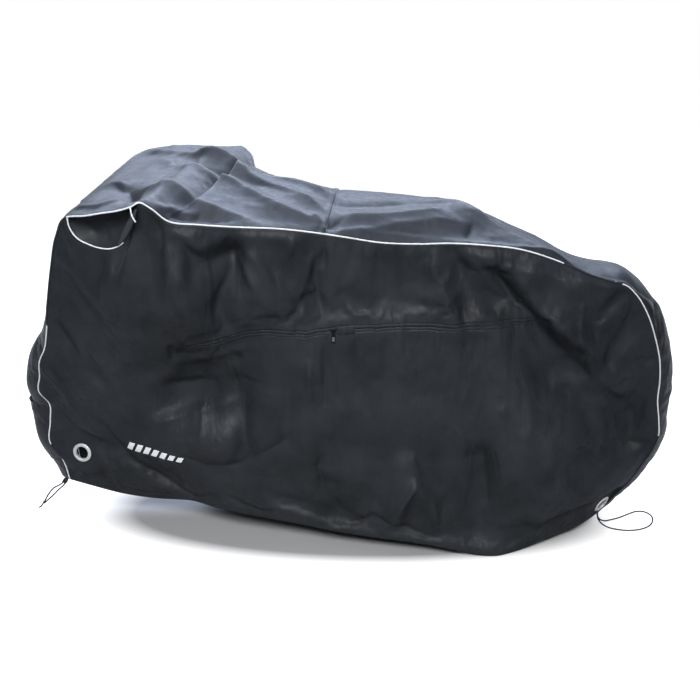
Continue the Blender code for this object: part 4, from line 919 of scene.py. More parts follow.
def coated_polyester(name, dark, light, roughness, sheen, gloss, crinkles=0.012, painted_shade=None):
    """Woven polyester with a thin coating: a close plain weave, a satin surface and faint handling marks."""
    made, tree, shader = finish(name, dark, roughness, IOR=1.5, Sheen_Weight=sheen, Sheen_Roughness=0.35,
                                Specular_IOR_Level=gloss)
    uv = node(tree, "ShaderNodeUVMap", uv_map="cloth").outputs["UV"]
    spot = node(tree, "ShaderNodeTexCoord").outputs["Object"]
    turns = [node(tree, "ShaderNodeTexWave", {"Vector": uv, "Scale": THREADS, "Distortion": 0.4,
                                              "Detail": 1.0, "Detail Scale": 2.0},
                  bands_direction=axis, wave_profile="SIN").outputs["Fac"] for axis in ("X", "Y")]
    weave = node(tree, "ShaderNodeMath", {0: turns[0], 1: turns[1]}, operation="MULTIPLY").outputs[0]
    # Handling marks: patches a few centimetres across where the coating is duller or paler.
    marks = node(tree, "ShaderNodeTexNoise", {"Vector": spot, "Scale": 9.0, "Detail": 6.0, "Roughness": 0.62})
    fine = node(tree, "ShaderNodeTexNoise", {"Vector": spot, "Scale": 70.0, "Detail": 3.0, "Roughness": 0.6})
    shade = node(tree, "ShaderNodeMapRange", {"Value": marks.outputs["Fac"], "From Min": 0.32,
                                              "From Max": 0.68})
    tone = node(tree, "ShaderNodeMix", {"Factor": shade.outputs["Result"], "A": linear(dark),
                                        "B": linear(light)}, data_type="RGBA")
    if painted_shade:
        # Painted shade: lower down, towards the upright ends, the colour goes to a darker one, standing for
        # the shade where the cloth turns away from the sky.
        height = node(tree, "ShaderNodeSeparateXYZ", {"Vector": spot}).outputs["Z"]
        out_of_shade = node(tree, "ShaderNodeMapRange", {"Value": height, "From Min": PAINTED_SHADE_HEIGHTS[0],
                                                  "From Max": PAINTED_SHADE_HEIGHTS[1]},
                     interpolation_type="SMOOTHSTEP").outputs["Result"]
        tone = node(tree, "ShaderNodeMix", {"Factor": out_of_shade, "A": linear(painted_shade),
                                            "B": tone.outputs["Result"]}, data_type="RGBA")
    scaled = node(tree, "ShaderNodeMath", {0: weave, 1: 0.16}, operation="MULTIPLY").outputs[0]
    thread = node(tree, "ShaderNodeMix", {"Factor": scaled, "A": tone.outputs["Result"], "B": (0, 0, 0, 1)},
                  data_type="RGBA", blend_type="MULTIPLY")
    tree.links.new(thread.outputs["Result"], shader.inputs["Base Color"])
    rough = node(tree, "ShaderNodeMapRange", {"Value": fine.outputs["Fac"], "From Min": 0.3, "From Max": 0.7,
                                              "To Min": roughness - 0.07, "To Max": roughness + 0.09})
    tree.links.new(rough.outputs["Result"], shader.inputs["Roughness"])
    # Crisp little crinkles in patches, where the stiff coating has been folded sharply.
    crinkle = node(tree, "ShaderNodeTexNoise", {"Vector": spot, "Scale": 7.0, "Detail": 3.0, "Roughness": 0.5,
                                                "Distortion": 0.6},
                   noise_type="RIDGED_MULTIFRACTAL", normalize=True)
    where = node(tree, "ShaderNodeTexNoise", {"Vector": spot, "Scale": 3.4, "Detail": 1.0})
    patch = node(tree, "ShaderNodeMapRange", {"Value": where.outputs["Fac"], "From Min": 0.42,
                                              "From Max": 0.62})
    ridge = node(tree, "ShaderNodeMath", {0: crinkle.outputs["Fac"], 1: patch.outputs["Result"]},
                 operation="MULTIPLY")
    crinkled = node(tree, "ShaderNodeBump", {"Height": ridge.outputs[0], "Strength": 0.8,
                                             "Distance": crinkles})
    # Long shallow creases that hang down the cloth, a few centimetres apart.
    hung = node(tree, "ShaderNodeMapping", {"Vector": spot, "Scale": (17.0, 17.0, 3.6)})
    soft = node(tree, "ShaderNodeTexNoise", {"Vector": hung.outputs["Vector"], "Scale": 1.0, "Detail": 3.0,
                                             "Roughness": 0.5, "Distortion": 0.9})
    creased = node(tree, "ShaderNodeBump", {"Height": soft.outputs["Fac"], "Strength": 0.6,
                                            "Distance": crinkles * 0.42,
                                            "Normal": crinkled.outputs["Normal"]})
    woven = node(tree, "ShaderNodeBump", {"Height": weave, "Strength": 0.5, "Distance": 0.0003,
                                          "Normal": creased.outputs["Normal"]})
    tree.links.new(woven.outputs["Normal"], shader.inputs["Normal"])
    return made


def braided(name, dark, light, roughness, pitch, turns, **sockets):
    """A braided sleeve or cord: two sets of slanting strands round it, read from its length."""
    made, tree, shader = finish(name, light, roughness, **sockets)
    uv = node(tree, "ShaderNodeUVMap", uv_map="length").outputs["UV"]
    parts = node(tree, "ShaderNodeSeparateXYZ", {"Vector": uv})
    along = node(tree, "ShaderNodeMath", {0: parts.outputs["X"], 1: 2 * math.pi / pitch},
                 operation="MULTIPLY")
    waves = []
    for sign in (1, -1):
        round_it = node(tree, "ShaderNodeMath", {0: parts.outputs["Y"], 1: sign * turns * 2 * math.pi},
                        operation="MULTIPLY")
        both = node(tree, "ShaderNodeMath", {0: along.outputs[0], 1: round_it.outputs[0]}, operation="ADD")
        waves.append(node(tree, "ShaderNodeMath", {0: both.outputs[0]}, operation="SINE").outputs[0])
    strand = node(tree, "ShaderNodeMath", {0: waves[0], 1: waves[1]}, operation="MULTIPLY")
    share = node(tree, "ShaderNodeMapRange", {"Value": strand.outputs[0], "From Min": -0.6, "From Max": 0.6})
    tone = node(tree, "ShaderNodeMix", {"Factor": share.outputs["Result"], "A": linear(dark),
                                        "B": linear(light)}, data_type="RGBA")
    tree.links.new(tone.outputs["Result"], shader.inputs["Base Color"])
    bump = node(tree, "ShaderNodeBump", {"Height": share.outputs["Result"], "Strength": 0.6,
                                         "Distance": 0.0004})
    tree.links.new(bump.outputs["Normal"], shader.inputs["Normal"])
    return made


def worn(name, colour, roughness, metallic, scale, depth, **sockets):
    """Metal or moulded plastic with a fine uneven surface."""
    made, tree, shader = finish(name, colour, roughness, metallic, **sockets)
    spot = node(tree, "ShaderNodeTexCoord").outputs["Object"]
    grain = node(tree, "ShaderNodeTexNoise", {"Vector": spot, "Scale": scale, "Detail": 5.0,
                                              "Roughness": 0.65})
    rough = node(tree, "ShaderNodeMapRange", {"Value": grain.outputs["Fac"], "From Min": 0.3, "From Max": 0.7,
                                              "To Min": roughness - 0.08, "To Max": roughness + 0.12})
    tree.links.new(rough.outputs["Result"], shader.inputs["Roughness"])
    bump = node(tree, "ShaderNodeBump", {"Height": grain.outputs["Fac"], "Strength": 0.4, "Distance": depth})
    tree.links.new(bump.outputs["Normal"], shader.inputs["Normal"])
    return made


# Polyurethane-coated polyester: near black, with a soft satin that shows every fold.
SIDE_CLOTH = coated_polyester("coated_polyester_side", "#232629", "#33363a", 0.54, 0.0, 0.26, 0.024)
# The same cloth on top, given a bluer tint that is a painted reflection of the sky, and going to a darker
# painted shade where it turns down to the upright ends.
TOP_CLOTH = coated_polyester("coated_polyester_top", "#22262d", "#2b3038", 0.50, 0.25, 0.45, 0.008, "#1c1e21")
# Silver retroreflective yarn, braided over a cord: light grey and slightly glittering, with a faint emission
# that is a painted glow for its reflection.
REFLECTIVE_BRAID = braided("reflective_braid", "#c4c8cc", "#fbfcfd", 0.38, 0.0045, 2, Emission_Color=WHITE,
                           Emission_Strength=0.22)
# Reflective print: flat light grey, with a faint emission that is a painted glow for its reflection.
REFLECTIVE_INK = worn("reflective_ink", "#eef0f2", 0.55, 0.0, 300.0, 0.00003, Emission_Color=WHITE,
                      Emission_Strength=0.3)
# The cloth's uncoated back, where it is turned out: greyer.
CLOTH_BACK = coated_polyester("coated_polyester_back", "#3d4044", "#45484d", 0.60, 0.0, 0.30)
# Braided elastic cord in black polyester yarn.
ELASTIC_CORD = braided("elastic_cord", "#0c0c0d", "#222327", 0.72, 0.0036, 2)
# Nickel-plated brass eyelets: bright, with a warm-grey satin from tumbling.
NICKEL = worn("nickel_plate", "#f6f6f4", 0.40, 0.45, 240.0, 0.00006)
# Black lacquered zinc of the slider.
BLACK_ZINC = worn("black_lacquered_zinc", "#1c1d20", 0.36, 0.6, 300.0, 0.00005)
# Acetal of the cord lock and the zip's coil: satin black plastic.
ACETAL = worn("moulded_acetal", "#0f1011", 0.42, 0.0, 500.0, 0.00004)
COIL = worn("nylon_coil", "#1a1b1e", 0.34, 0.0, 500.0, 0.00003)
# Sewing thread: dark grey and dull, a little paler than the cloth.
THREAD = worn("polyester_thread", "#3a3d43", 0.60, 0.0, 900.0, 0.00004)


# ------------------------------------------------------------------ the cloth
# The settled panels by side, for what is laid on them.
PANELS = {}
# The top's row at the front corner, from which its rows go on with a side panel's columns.
ROWS_TO_CORNER = ROWS_BELOW_ZIP + 1 + ROWS_ABOVE_ZIP


def side_pins(grid, side):
    """Where a side panel is held: at its sewn edges and hem, and along the zip and round the eyelets."""
    pins = np.zeros(grid.shape[:2])
    pins[0] = pins[-1] = 1.0
    pins[:, 0] = pins[:, -1] = 1.0
    pins[1] = 0.6
    for spot in EYELET_AT.values():
        pins[from_spot(grid, spot) < 0.05] = 1.0
    if side < 0:
        held = (np.abs(above_zip(grid[..., 0], grid[..., 2])) < 0.016) & along_zip(grid[..., 0])
        pins[held] = np.maximum(pins[held], 0.9)
    return pins


def zip_columns(grid):
    """The first and last column of the zip's slot."""
    x = grid[ROWS_BELOW_ZIP, :, 0]
    return [int(np.argmin(np.abs(x - ZIP_LINE[end][0]))) for end in (0, -1)]


def side_panel(side, name):
    """A whole side of the cover: settled, hemmed and cut out for the zip and the eyelets."""
    grid, border, v = side_grid(side)
    coarse = grid[::2, ::2]
    moved = finer(settle(name, coarse, side_pins(coarse, side), SIDE_SETTLING), *grid.shape[:2])
    held = fade(v / 0.05) * fade((1 - v) / 0.05)
    moved *= (held * fade(from_ends(grid.shape[1]) / 12)[None])[..., None]
    for spot in EYELET_AT.values():
        moved *= fade((from_spot(grid, spot) - 0.04) / 0.04)[..., None]
    if side < 0:
        off = np.abs(above_zip(grid[..., 0], grid[..., 2]))
        beside = along_zip(grid[..., 0], (ZIP_PAST, ZIP_PAST))
        moved *= np.where(beside, fade((off - 0.010) / 0.03), 1.0)[..., None]
    grid = grid + moved
    # The turned hem is two layers thick, with its stitching a little sunk.
    out = outward(grid, side)
    height = lengths_up(grid)
    sunk = 0.0008 * np.exp(-((height - HEM_WIDTH + 0.003) / 0.003) ** 2)
    lip = 0.0010 * fade((HEM_WIDTH - height) / 0.006) - sunk
    grid = grid + out * lip[..., None] * (height > 0.004)[..., None]
    grid = seat_edges(grid, border)
    first, last = zip_columns(grid) if side < 0 else (0, 0)
    normals = outward(grid, side)

    def left_out(i, j):
        if side < 0 and i == ROWS_BELOW_ZIP and first <= j < last:
            return True
        return any(math.hypot(grid[a, b, 0] - x, grid[a, b, 2] - z) < EYELET_CUT
                   for x, z in EYELET_AT.values()
                   for a, b in ((i, j), (i, j + 1), (i + 1, j), (i + 1, j + 1)))
    piece = place(name, grid_mesh(name, grid, (0, side, 0), left_out, flat_sizes(grid)), SIDE_CLOTH)
    thicken(piece, CLOTH)
    PANELS[side] = {"grid": grid, "normals": normals, "zip": (first, last)}
    return piece


def top_panels():
    """The top in its two lengths, front and rear, which meet in the lapped cross seam."""
    grid, near, far = top_grid()
    count, width = grid.shape[:2]
    coarse = grid[::2, ::4]
    pins = np.zeros(coarse.shape[:2])
    pins[0] = pins[-1] = pins[:, 0] = pins[:, -1] = 1.0
    middle = coarse[:, coarse.shape[1] // 2, 2]
    pins[middle < 0.72] = np.maximum(pins[middle < 0.72], 0.5)
    moved = finer(settle("top_panels", coarse, pins, TOP_SETTLING), count, width)
    moved *= (fade(from_ends(width) / 9)[None] * fade(from_ends(count) / 6)[:, None])[..., None]
    grid = grid + moved
    # The cross seam is lapped: the front length lies over the rear one.
    half = width // 2
    on_top = np.arange(count)[grid[:, half, 2] > 0.85]
    seam_row = int(on_top[np.argmin(np.abs(grid[on_top, half, 0] - CROSS_SEAM_AT))])
    along = lengths_up(grid)
    off = along - along[seam_row]
    out = unit(np.cross(np.gradient(grid, axis=1), np.gradient(grid, axis=0)))
    out *= np.sign(out[count // 2, half, 2])
    lap = 0.0012 * fade((off + 0.012) / 0.004) * (off <= 0) + 0.0006 * np.exp(-(off / 0.004) ** 2)
    dip = -0.0022 * np.exp(-((off - 0.004) / 0.005) ** 2) - 0.0010 * np.exp(-((off + 0.018) / 0.006) ** 2)
    grid = grid + out * (lap + dip)[..., None]
    grid[:, 0] = pulled_in(near, grid[:, 1], EDGE_GAP)
    grid[:, -1] = pulled_in(far, grid[:, -2], EDGE_GAP)
    PANELS["top"] = {"grid": grid, "seam_row": seam_row, "out": out}
    uv = flat_sizes(grid)
    pieces = []
    for name, rows in (("top_cloth_front", slice(seam_row + 1)), ("top_cloth_rear", slice(seam_row, None))):
        facing_out = out[rows].mean(axis=(0, 1))
        piece = place(name, grid_mesh(name, grid[rows], facing_out, uv=uv[rows]), TOP_CLOTH)
        thicken(piece, CLOTH)
        pieces.append(piece)
    return pieces


near_panel = side_panel(-1, "near_side_cloth")
far_panel = side_panel(1, "far_side_cloth")
top_front, top_rear = top_panels()

# ------------------------------------------------------------------ piping
seam_at = np.linspace(0, SEAM_LINE.length, 620)
pipings = [tube(f"reflective_piping_{label}", seam_points(SEAM_LINE.at(seam_at), side), PIPING_RADIUS,
                REFLECTIVE_BRAID) for side, label in SIDES]


def rolled_cloth():
    """Short lengths where the cloth has rolled over the near piping, and only a cord of cloth shows."""
    rolls = []
    for first, last in ROLLED_OVER:
        ends = np.interp((first, last), np.arange(len(SEAM_LINE.marks)), SEAM_LINE.marks)
        at = np.linspace(*ends, max(12, int((ends[1] - ends[0]) / 0.005)))
        share = np.linspace(0, 1, len(at))
        rolls.append(tube("rolled", seam_points(SEAM_LINE.at(at), -1), ROLL_RADIUS, TOP_CLOTH,
                          taper=0.70 + 0.30 * fade(share / 0.06) * fade((1 - share) / 0.06)))
    for roll in rolls[1:]:
        bm = bmesh.new()
        bm.from_mesh(rolls[0].data)
        bm.from_mesh(roll.data)
        bm.to_mesh(rolls[0].data)
        bm.free()
        bpy.data.objects.remove(roll)
    rolls[0].name = "rolled_cloth_near"
    return rolls[0]


rolled = rolled_cloth()
# The far seam is bound on the inside; its lowest length shows through the front eyelet.
bound = seam_points(SEAM_LINE.at(np.linspace(0, SEAM_LINE.marks[9], 90)), 1)
binding = tube("seam_binding_far", bound + np.array((0.0030, -0.0032, 0.0012)), 0.0022, SIDE_CLOTH, sides=7)
lip_line = Line(LIP_LINE.share(np.linspace(0, 1, 60)) * MIRROR_Y[-1])
lip_piping = tube("vent_lip_piping", lip_line.share(np.linspace(0.004, 0.62, 130)), PIPING_RADIUS * 0.95,
                  REFLECTIVE_BRAID)
STUB_ROUTE = ((0.1043, -0.3430, 1.0402), (0.1080, -0.3490, 1.0240), (0.1150, -0.3500, 1.0100))
stub = tube("vent_piping_end", Line(STUB_ROUTE).share(np.linspace(0, 1, 16)), PIPING_RADIUS, REFLECTIVE_BRAID)


# ------------------------------------------------------------------ vent
POCKET_DEPTH = 0.030
POCKET_CREASES = ((0.010, 0.006, (-0.03, 1.0), (0.0, 0.95)), (0.008, -0.004, (0.02, 1.01), (0.04, 0.95)))


def vent_back():
    """The back of the vent's pocket, a soft arch behind the mouth."""
    near, top = PANELS[-1]["grid"], PANELS["top"]["grid"]
    columns = np.arange(1, MOUTH_COLUMNS - 1)
    low = near[-1, columns] * 0.3 + near[-2, columns] * 0.7 + (0, 0.0036, -0.001)
    rows = top[ROWS_TO_CORNER + columns]
    high = rows[:, 0] + unit(rows[:, 2] - rows[:, 0]) * 0.014 - (0, 0, 0.0035)
    v = np.linspace(0, 1, 22)[:, None, None]
    grid = (1 - v) * low[None] + v * high[None]
    arch = np.sin(np.pi * np.linspace(0.02, 0.98, len(columns)) ** 1.3) ** 0.7
    grid[..., 1] += POCKET_DEPTH * np.sin(np.pi * v[..., 0]) ** 0.8 * arch[None]
    creases = fold_heights(straight_lengths(POCKET_CREASES), grid[..., 0], grid[..., 2], sharp=True)
    grid[..., 1] += creases * np.sin(np.pi * v[..., 0])
    return cloth_piece("vent_pocket_back", grid, SIDE_CLOTH, THIN_CLOTH)


def vent_facing():
    """The turned-out facing at the rear of the mouth: a crescent of the cloth's back, on the lip."""
    line = Line(lip_line.share(np.linspace(0.56, 0.94, 40)) + np.array((-0.0010, -0.0014, 0.0004)))
    low = line.share(np.linspace(0, 1, 40))
    width = FACING_WIDTH * np.sin(np.pi * np.linspace(0.02, 0.95, 40))[:, None] ** 0.8
    v = np.linspace(0, 1, 9)[:, None, None]
    grid = low[None] + v * width[None] * np.array((-0.62, 0.10, 0.62))
    grid[..., 1] -= 0.0030 * np.sin(np.pi * v[..., 0])
    return cloth_piece("vent_facing_strip", grid, CLOTH_BACK, THIN_CLOTH)


back, strip = vent_back(), vent_facing()


# ------------------------------------------------------------------ zip
def zip_line():
    """The slot's lower and upper edges, and the way out of the cloth along them."""
    grid = PANELS[-1]["grid"]
    first, last = PANELS[-1]["zip"]
    low, high = grid[ROWS_BELOW_ZIP, first:last + 1], grid[ROWS_BELOW_ZIP + 1, first:last + 1]
    out = unit(np.cross(np.gradient(low, axis=0), high - low))
    out = out * -np.sign(out[:, 1:2])
    return low, high, out


def welt(name, share, low, high, out):
    """A welt: the cloth turned back on itself beside the teeth, a soft flat roll."""
    rows = []
    for k in range(11):
        t = k / 10
        bulge = 0.0005 + 0.0011 * math.sin(math.pi * min(1.0, t * 1.1)) ** 0.6 if t < 1 else 0.0002
        rows.append(low + (high - low) * (share[0] + (share[1] - share[0]) * t) + out * bulge)
    return cloth_piece(name, np.array(rows), SIDE_CLOTH, 0.0012)


def repeated(name, path, out, pitch, make_bit, material):
    """Geometry Nodes lay one small part along a path at an even pitch, standing out of the cloth."""
    line = Line(path)
    count = int(line.length / pitch)
    at = (np.arange(count) + 0.5) * pitch
    points = line.at(at)
    steps = np.linalg.norm(np.diff(path, axis=0), axis=1)
    kept = out[np.concatenate(([True], steps > 1e-7))]
    outs = np.stack([np.interp(at, line.marks, kept[:, k]) for k in range(3)], axis=-1)
    runs = unit(np.gradient(points, axis=0))
    carrier = bpy.data.meshes.new(name)
    carrier.from_pydata([tuple(p + SHIFT) for p in points], [], [])
    turn = carrier.attributes.new("turn", "FLOAT_VECTOR", "POINT")
    for i in range(count):
        z_axis = Vector(outs[i]).normalized()
        x_axis = Vector(runs[i]).normalized()
        y_axis = z_axis.cross(x_axis).normalized()
        x_axis = y_axis.cross(z_axis)
        turn.data[i].vector = Matrix((x_axis, y_axis, z_axis)).transposed().to_euler()
    bit = bpy.data.objects.new(name + "_bit", make_bit())
    piece = place(name, carrier, material)
    tree = bpy.data.node_groups.new(name + "_rows", "GeometryNodeTree")
    tree.interface.new_socket("Geometry", in_out="INPUT", socket_type="NodeSocketGeometry")
    tree.interface.new_socket("Geometry", in_out="OUTPUT", socket_type="NodeSocketGeometry")
    size = tree.interface.new_socket("Size", in_out="INPUT", socket_type="NodeSocketFloat")
    size.default_value = 1.0
    start, end = node(tree, "NodeGroupInput"), node(tree, "NodeGroupOutput")
    info = node(tree, "GeometryNodeObjectInfo", {"Object": bit})
    named = node(tree, "GeometryNodeInputNamedAttribute", {"Name": "turn"}, data_type="FLOAT_VECTOR")
    laid = node(tree, "GeometryNodeInstanceOnPoints", {
        "Points": start.outputs["Geometry"], "Instance": info.outputs["Geometry"],
        "Rotation": named.outputs["Attribute"], "Scale": start.outputs["Size"]})
    real = node(tree, "GeometryNodeRealizeInstances", {"Geometry": laid.outputs["Instances"]})
    coated = node(tree, "GeometryNodeSetMaterial", {"Geometry": real.outputs["Geometry"],
                                                    "Material": material})
    tree.links.new(coated.outputs["Geometry"], end.inputs["Geometry"])
    maker = piece.modifiers.new("repeat", "NODES")
    maker.node_group = tree
    apply_all(piece)
    bpy.data.objects.remove(bit)
    return piece


def bead(name, size, around):
    """A small drawn-out bead, its length, width and height in size."""
    bm = bmesh.new()
    bmesh.ops.create_uvsphere(bm, u_segments=around, v_segments=6, radius=0.5)
    bmesh.ops.scale(bm, vec=size, verts=bm.verts)
    return mesh_of(bm, name)


def coil_bit():
    """One turn of the nylon coil: a short rounded bar across the zip."""
    return bead("coil_bit", (0.0021, 0.0052, 0.0018), 8)


def stitch_bit():
    """One stitch: a short strand, thinner towards its ends."""
    return bead("stitch_bit", (0.0034, 0.0008, 0.0007), 6)


low, high, zip_out = zip_line()
welt_low = welt("zip_welt_below", (-0.10, 0.44), low, high, zip_out)
welt_high = welt("zip_welt_above", (1.10, 0.56), low, high, zip_out)
middle = (low + high) / 2
tape_grid = np.stack([low + (high - low) * s - zip_out * 0.0016 for s in (-0.05, 0.25, 0.5, 0.75, 1.05)])
# The zip's woven nylon tape: dull black.
ZIP_TAPE = worn("woven_zip_tape", "#131417", 0.70, 0.0, 800.0, 0.00010)
tape = cloth_piece("zip_tape", tape_grid, ZIP_TAPE, 0.0008)
coil = repeated("zip_coil", middle + zip_out * 0.0006, zip_out, COIL_PITCH, coil_bit, COIL)


def on_zip(x, lift=0.0):
    """A point over the middle of the zip, and the way out of the cloth there."""
    k = int(np.argmin(np.abs(middle[:, 0] - x)))
    return middle[k] + zip_out[k] * lift + np.array((x - middle[k][0], 0, 0)), zip_out[k]


def turned(out):
    """The turn that lays a flat part on the cloth, upright, facing out."""
    z_axis, down = Vector(out).normalized(), Vector((0, 0, -1))
    y_axis = -(down - z_axis * down.dot(z_axis)).normalized()
    x_axis = y_axis.cross(z_axis)
    return Matrix((x_axis, y_axis, z_axis)).transposed().to_4x4()


def slab(name, outline, thickness, material, spot, turn, bevel=0.0004):
    """A flat plate from an outline in its own plane, with rounded edges, set on the cloth."""
    bm = bmesh.new()
    ring = [bm.verts.new((x, y, 0)) for x, y in outline]
    bm.faces.new(ring)
    made = bmesh.ops.extrude_face_region(bm, geom=bm.faces[:])
    upper = [v for v in made["geom"] if isinstance(v, bmesh.types.BMVert)]
    bmesh.ops.translate(bm, vec=(0, 0, thickness), verts=upper)
    bmesh.ops.recalc_face_normals(bm, faces=bm.faces)
    bmesh.ops.bevel(bm, geom=[e for e in bm.edges if e.calc_face_angle(0) > 0.5], offset=bevel, segments=2,
                    affect="EDGES", profile=0.6)
    bmesh.ops.transform(bm, matrix=Matrix.Translation(Vector(spot) + Vector(SHIFT)) @ turn, verts=bm.verts)
    return place(name, mesh_of(bm, name, smooth=False), material)


def rounded(width, height, corner, steps=5):
    """The outline of a plate with round corners."""
    points = []
    for qx, qy, start in ((1, 1, 0), (-1, 1, 90), (-1, -1, 180), (1, -1, 270)):
        for k in range(steps + 1):
            a = math.radians(start + 90 * k / steps)
            points.append((qx * (width / 2 - corner) + corner * math.cos(a),
                           qy * (height / 2 - corner) + corner * math.sin(a)))
    return points


spot, out = on_zip(SLIDER_AT, 0.0022)
turn = turned(out)
slider = slab("zip_slider_body", rounded(0.013, 0.0098, 0.0030), SLIDER_THICKNESS, BLACK_ZINC, spot, turn,
              bevel=0.0009)
bridge = slab("zip_slider_bridge", rounded(0.0032, 0.0080, 0.0014), 0.0016, BLACK_ZINC,
              spot + out * SLIDER_THICKNESS, turn, bevel=0.0005)
pull_spot = spot + np.array((0, 0, -0.0205)) + out * 0.0012
pull = slab("zip_pull_tab", rounded(0.0095, 0.0255, 0.0030), 0.0015, BLACK_ZINC, pull_spot, turn)
# The pull's inlaid plate is bare zinc, a dull grey.
MATT_ZINC = worn("matt_zinc", "#8f9297", 0.45, 0.8, 300, 0.00004)
plate = slab("zip_pull_plate", rounded(0.0062, 0.0120, 0.0018), 0.0007, MATT_ZINC,
             pull_spot + out * 0.0016 + np.array((0, 0, -0.002)), turn, bevel=0.0002)
tab_spot, tab_out = on_zip(middle[-1, 0] - 0.012, 0.0026)
end_tab = slab("zip_end_stop", rounded(0.0065, 0.0180, 0.0010), 0.0012, ZIP_TAPE, tab_spot, turned(tab_out))


def garage():
    """The cloth hood that the slider parks under: a flap sewn over the zip, open towards the slider."""
    rows = []
    for t in np.linspace(-1, 1, 13):
        row = []
        for x in np.linspace(0.556, 0.598, 16):
            at, out = on_zip(x)
            row.append(at + out * (0.0030 + 0.0022 * (1 - t * t)) + np.array((0, 0, t * 0.0110)))
        rows.append(row)
    return cloth_piece("zip_garage_flap", np.array(rows), SIDE_CLOTH, THIN_CLOTH)


flap = garage()


# ------------------------------------------------------------------ reflective print
def cloth_tree(side):
    """A side panel's surface, for finding points on it."""
    grid = PANELS[side]["grid"]
    rows, columns = grid.shape[:2]
    index = np.arange(rows * columns).reshape(rows, columns)
    faces = [(int(index[i, j]), int(index[i, j + 1]), int(index[i + 1, j + 1]), int(index[i + 1, j]))
             for i in range(rows - 1) for j in range(columns - 1)]
    return BVHTree.FromPolygons([tuple(p) for p in grid.reshape(-1, 3)], faces)


def reflective_dashes():
    """A plain row of slanted reflective dashes printed on the near side, lying on the cloth."""
    tree = cloth_tree(-1)
    rows, faces = [], []
    n = DASH_CELLS + 1
    for number in range(DASH_COUNT):
        start, height = number * DASH_PITCH, float(np.interp(number, (0, DASH_COUNT - 1), DASH_HEIGHTS))
        first = len(rows)
        for i in range(n):
            for k in range(n):
                along, up = DASH_WIDTH * i / DASH_CELLS, height * k / DASH_CELLS
                x = DASHES_AT[0] + start + along + up * DASH_SLANT
                z = DASHES_AT[1] + (start + along) * DASHES_DROP + up
                found, normal, _, _ = tree.ray_cast(Vector((x, -1.0, z)), Vector((0, 1, 0)))
                rows.append(found + normal * (-0.0010 if normal.y > 0 else 0.0010) + Vector(SHIFT))
        corners = [first + i * n + k for i in range(DASH_CELLS) for k in range(DASH_CELLS)]
        faces += [(corner, corner + n, corner + n + 1, corner + 1) for corner in corners]
    mesh = bpy.data.meshes.new("reflective_dashes")
    mesh.from_pydata(rows, [], faces)
    piece = place("reflective_dashes", mesh, REFLECTIVE_INK)
    thicken(piece, 0.0003)
    return piece


# ------------------------------------------------------------------ eyelets
def spin(name, profile, segments, material, matrix):
    """A turned piece: a closed profile of radius and height, spun round its axis."""
    bm = bmesh.new()
    rings = []
    for k in range(segments):
        a = 2 * math.pi * k / segments
        rings.append([bm.verts.new((r * math.cos(a), r * math.sin(a), h)) for r, h in profile])
    for k in range(segments):
        here, there = rings[k], rings[(k + 1) % segments]
        for i in range(len(profile)):
            m = (i + 1) % len(profile)
            bm.faces.new((here[i], there[i], there[m], here[m]))
    bmesh.ops.recalc_face_normals(bm, faces=bm.faces)
    bmesh.ops.transform(bm, matrix=matrix, verts=bm.verts)
    return place(name, mesh_of(bm, name), material)


def eyelet_patch(name, tree, middle, normal):
    """The reinforcing patch, which follows the cloth round the hole."""
    to_cloth = normal.to_track_quat("Z", "Y").to_matrix()
    rings = []
    for r in PATCH_RINGS:
        ring = []
        for k in range(48):
            a = 2 * math.pi * k / 48
            spot = middle + to_cloth @ Vector((r * math.cos(a), r * math.sin(a), 0))
            found, _, _, _ = tree.ray_cast(spot + normal * 0.03, -normal, 0.08)
            lift = 0.0014 if r < PATCH_RINGS[-1] else 0.0010
            ring.append(np.array((found or spot)) + np.array(normal) * lift)
        rings.append(ring + ring[:1])
    grid = np.array(rings)
    patch = place(name, grid_mesh("patch", grid, tuple(normal), uv=flat_sizes(grid)), SIDE_CLOTH)
    bm = bmesh.new()
    bm.from_mesh(patch.data)
    bmesh.ops.remove_doubles(bm, verts=bm.verts, dist=0.00002)
    bm.to_mesh(patch.data)
    bm.free()
    thicken(patch, THIN_CLOTH)
    return patch


def eyelet_ring(name, matrix):
    """The pressed metal ring: a rolled lip in front of the cloth and a flange behind it."""
    rim, hole = EYELET_RIM, EYELET_HOLE
    profile = ((hole, 0.0030), (hole + 0.0004, 0.0040), (hole + 0.0016, 0.0047), (hole + 0.0032, 0.0046),
               (rim - 0.0030, 0.0036), (rim - 0.0012, 0.0030), (rim, 0.0022), (rim, 0.0017),
               (hole + 0.0010, 0.0022), (hole + 0.0010, -0.0024), (rim - 0.0020, -0.0022),
               (rim - 0.0022, -0.0034), (hole + 0.0012, -0.0042), (hole, -0.0032))
    return spin(name, profile, 64, NICKEL, matrix)


dashes = reflective_dashes()
# What each eyelet's patch and ring stand for, in the form of STANDS_FOR.
EYELETS = []
for side, side_name in SIDES:
    tree = cloth_tree(side)
    for end, (x, z) in EYELET_AT.items():
        hit, normal, _, _ = tree.ray_cast(Vector((x, side * 1.0, z)), Vector((0, -side, 0)))
        if normal.y * side < 0:
            normal = -normal
        matrix = Matrix.Translation(hit + Vector(SHIFT)) @ normal.to_track_quat("Z", "Y").to_matrix().to_4x4()
        patch = eyelet_patch(f"eyelet_patch_{end}_{side_name}_cloth", tree, hit, normal)
        ring = eyelet_ring(f"eyelet_{end}_{side_name}_nickel", matrix)
        EYELETS += [(patch, "side_cloth", (f"eyelet_patch_{end}_{side_name}",)),
                    (ring, "eyelet_metal", (f"eyelet_ring_{end}_{side_name}",))]


# ------------------------------------------------------------------ stitching
def stitched(name, points, outs):
    """A row of stitches along points."""
    return repeated(name, points, outs, STITCH_PITCH, stitch_bit, THREAD)


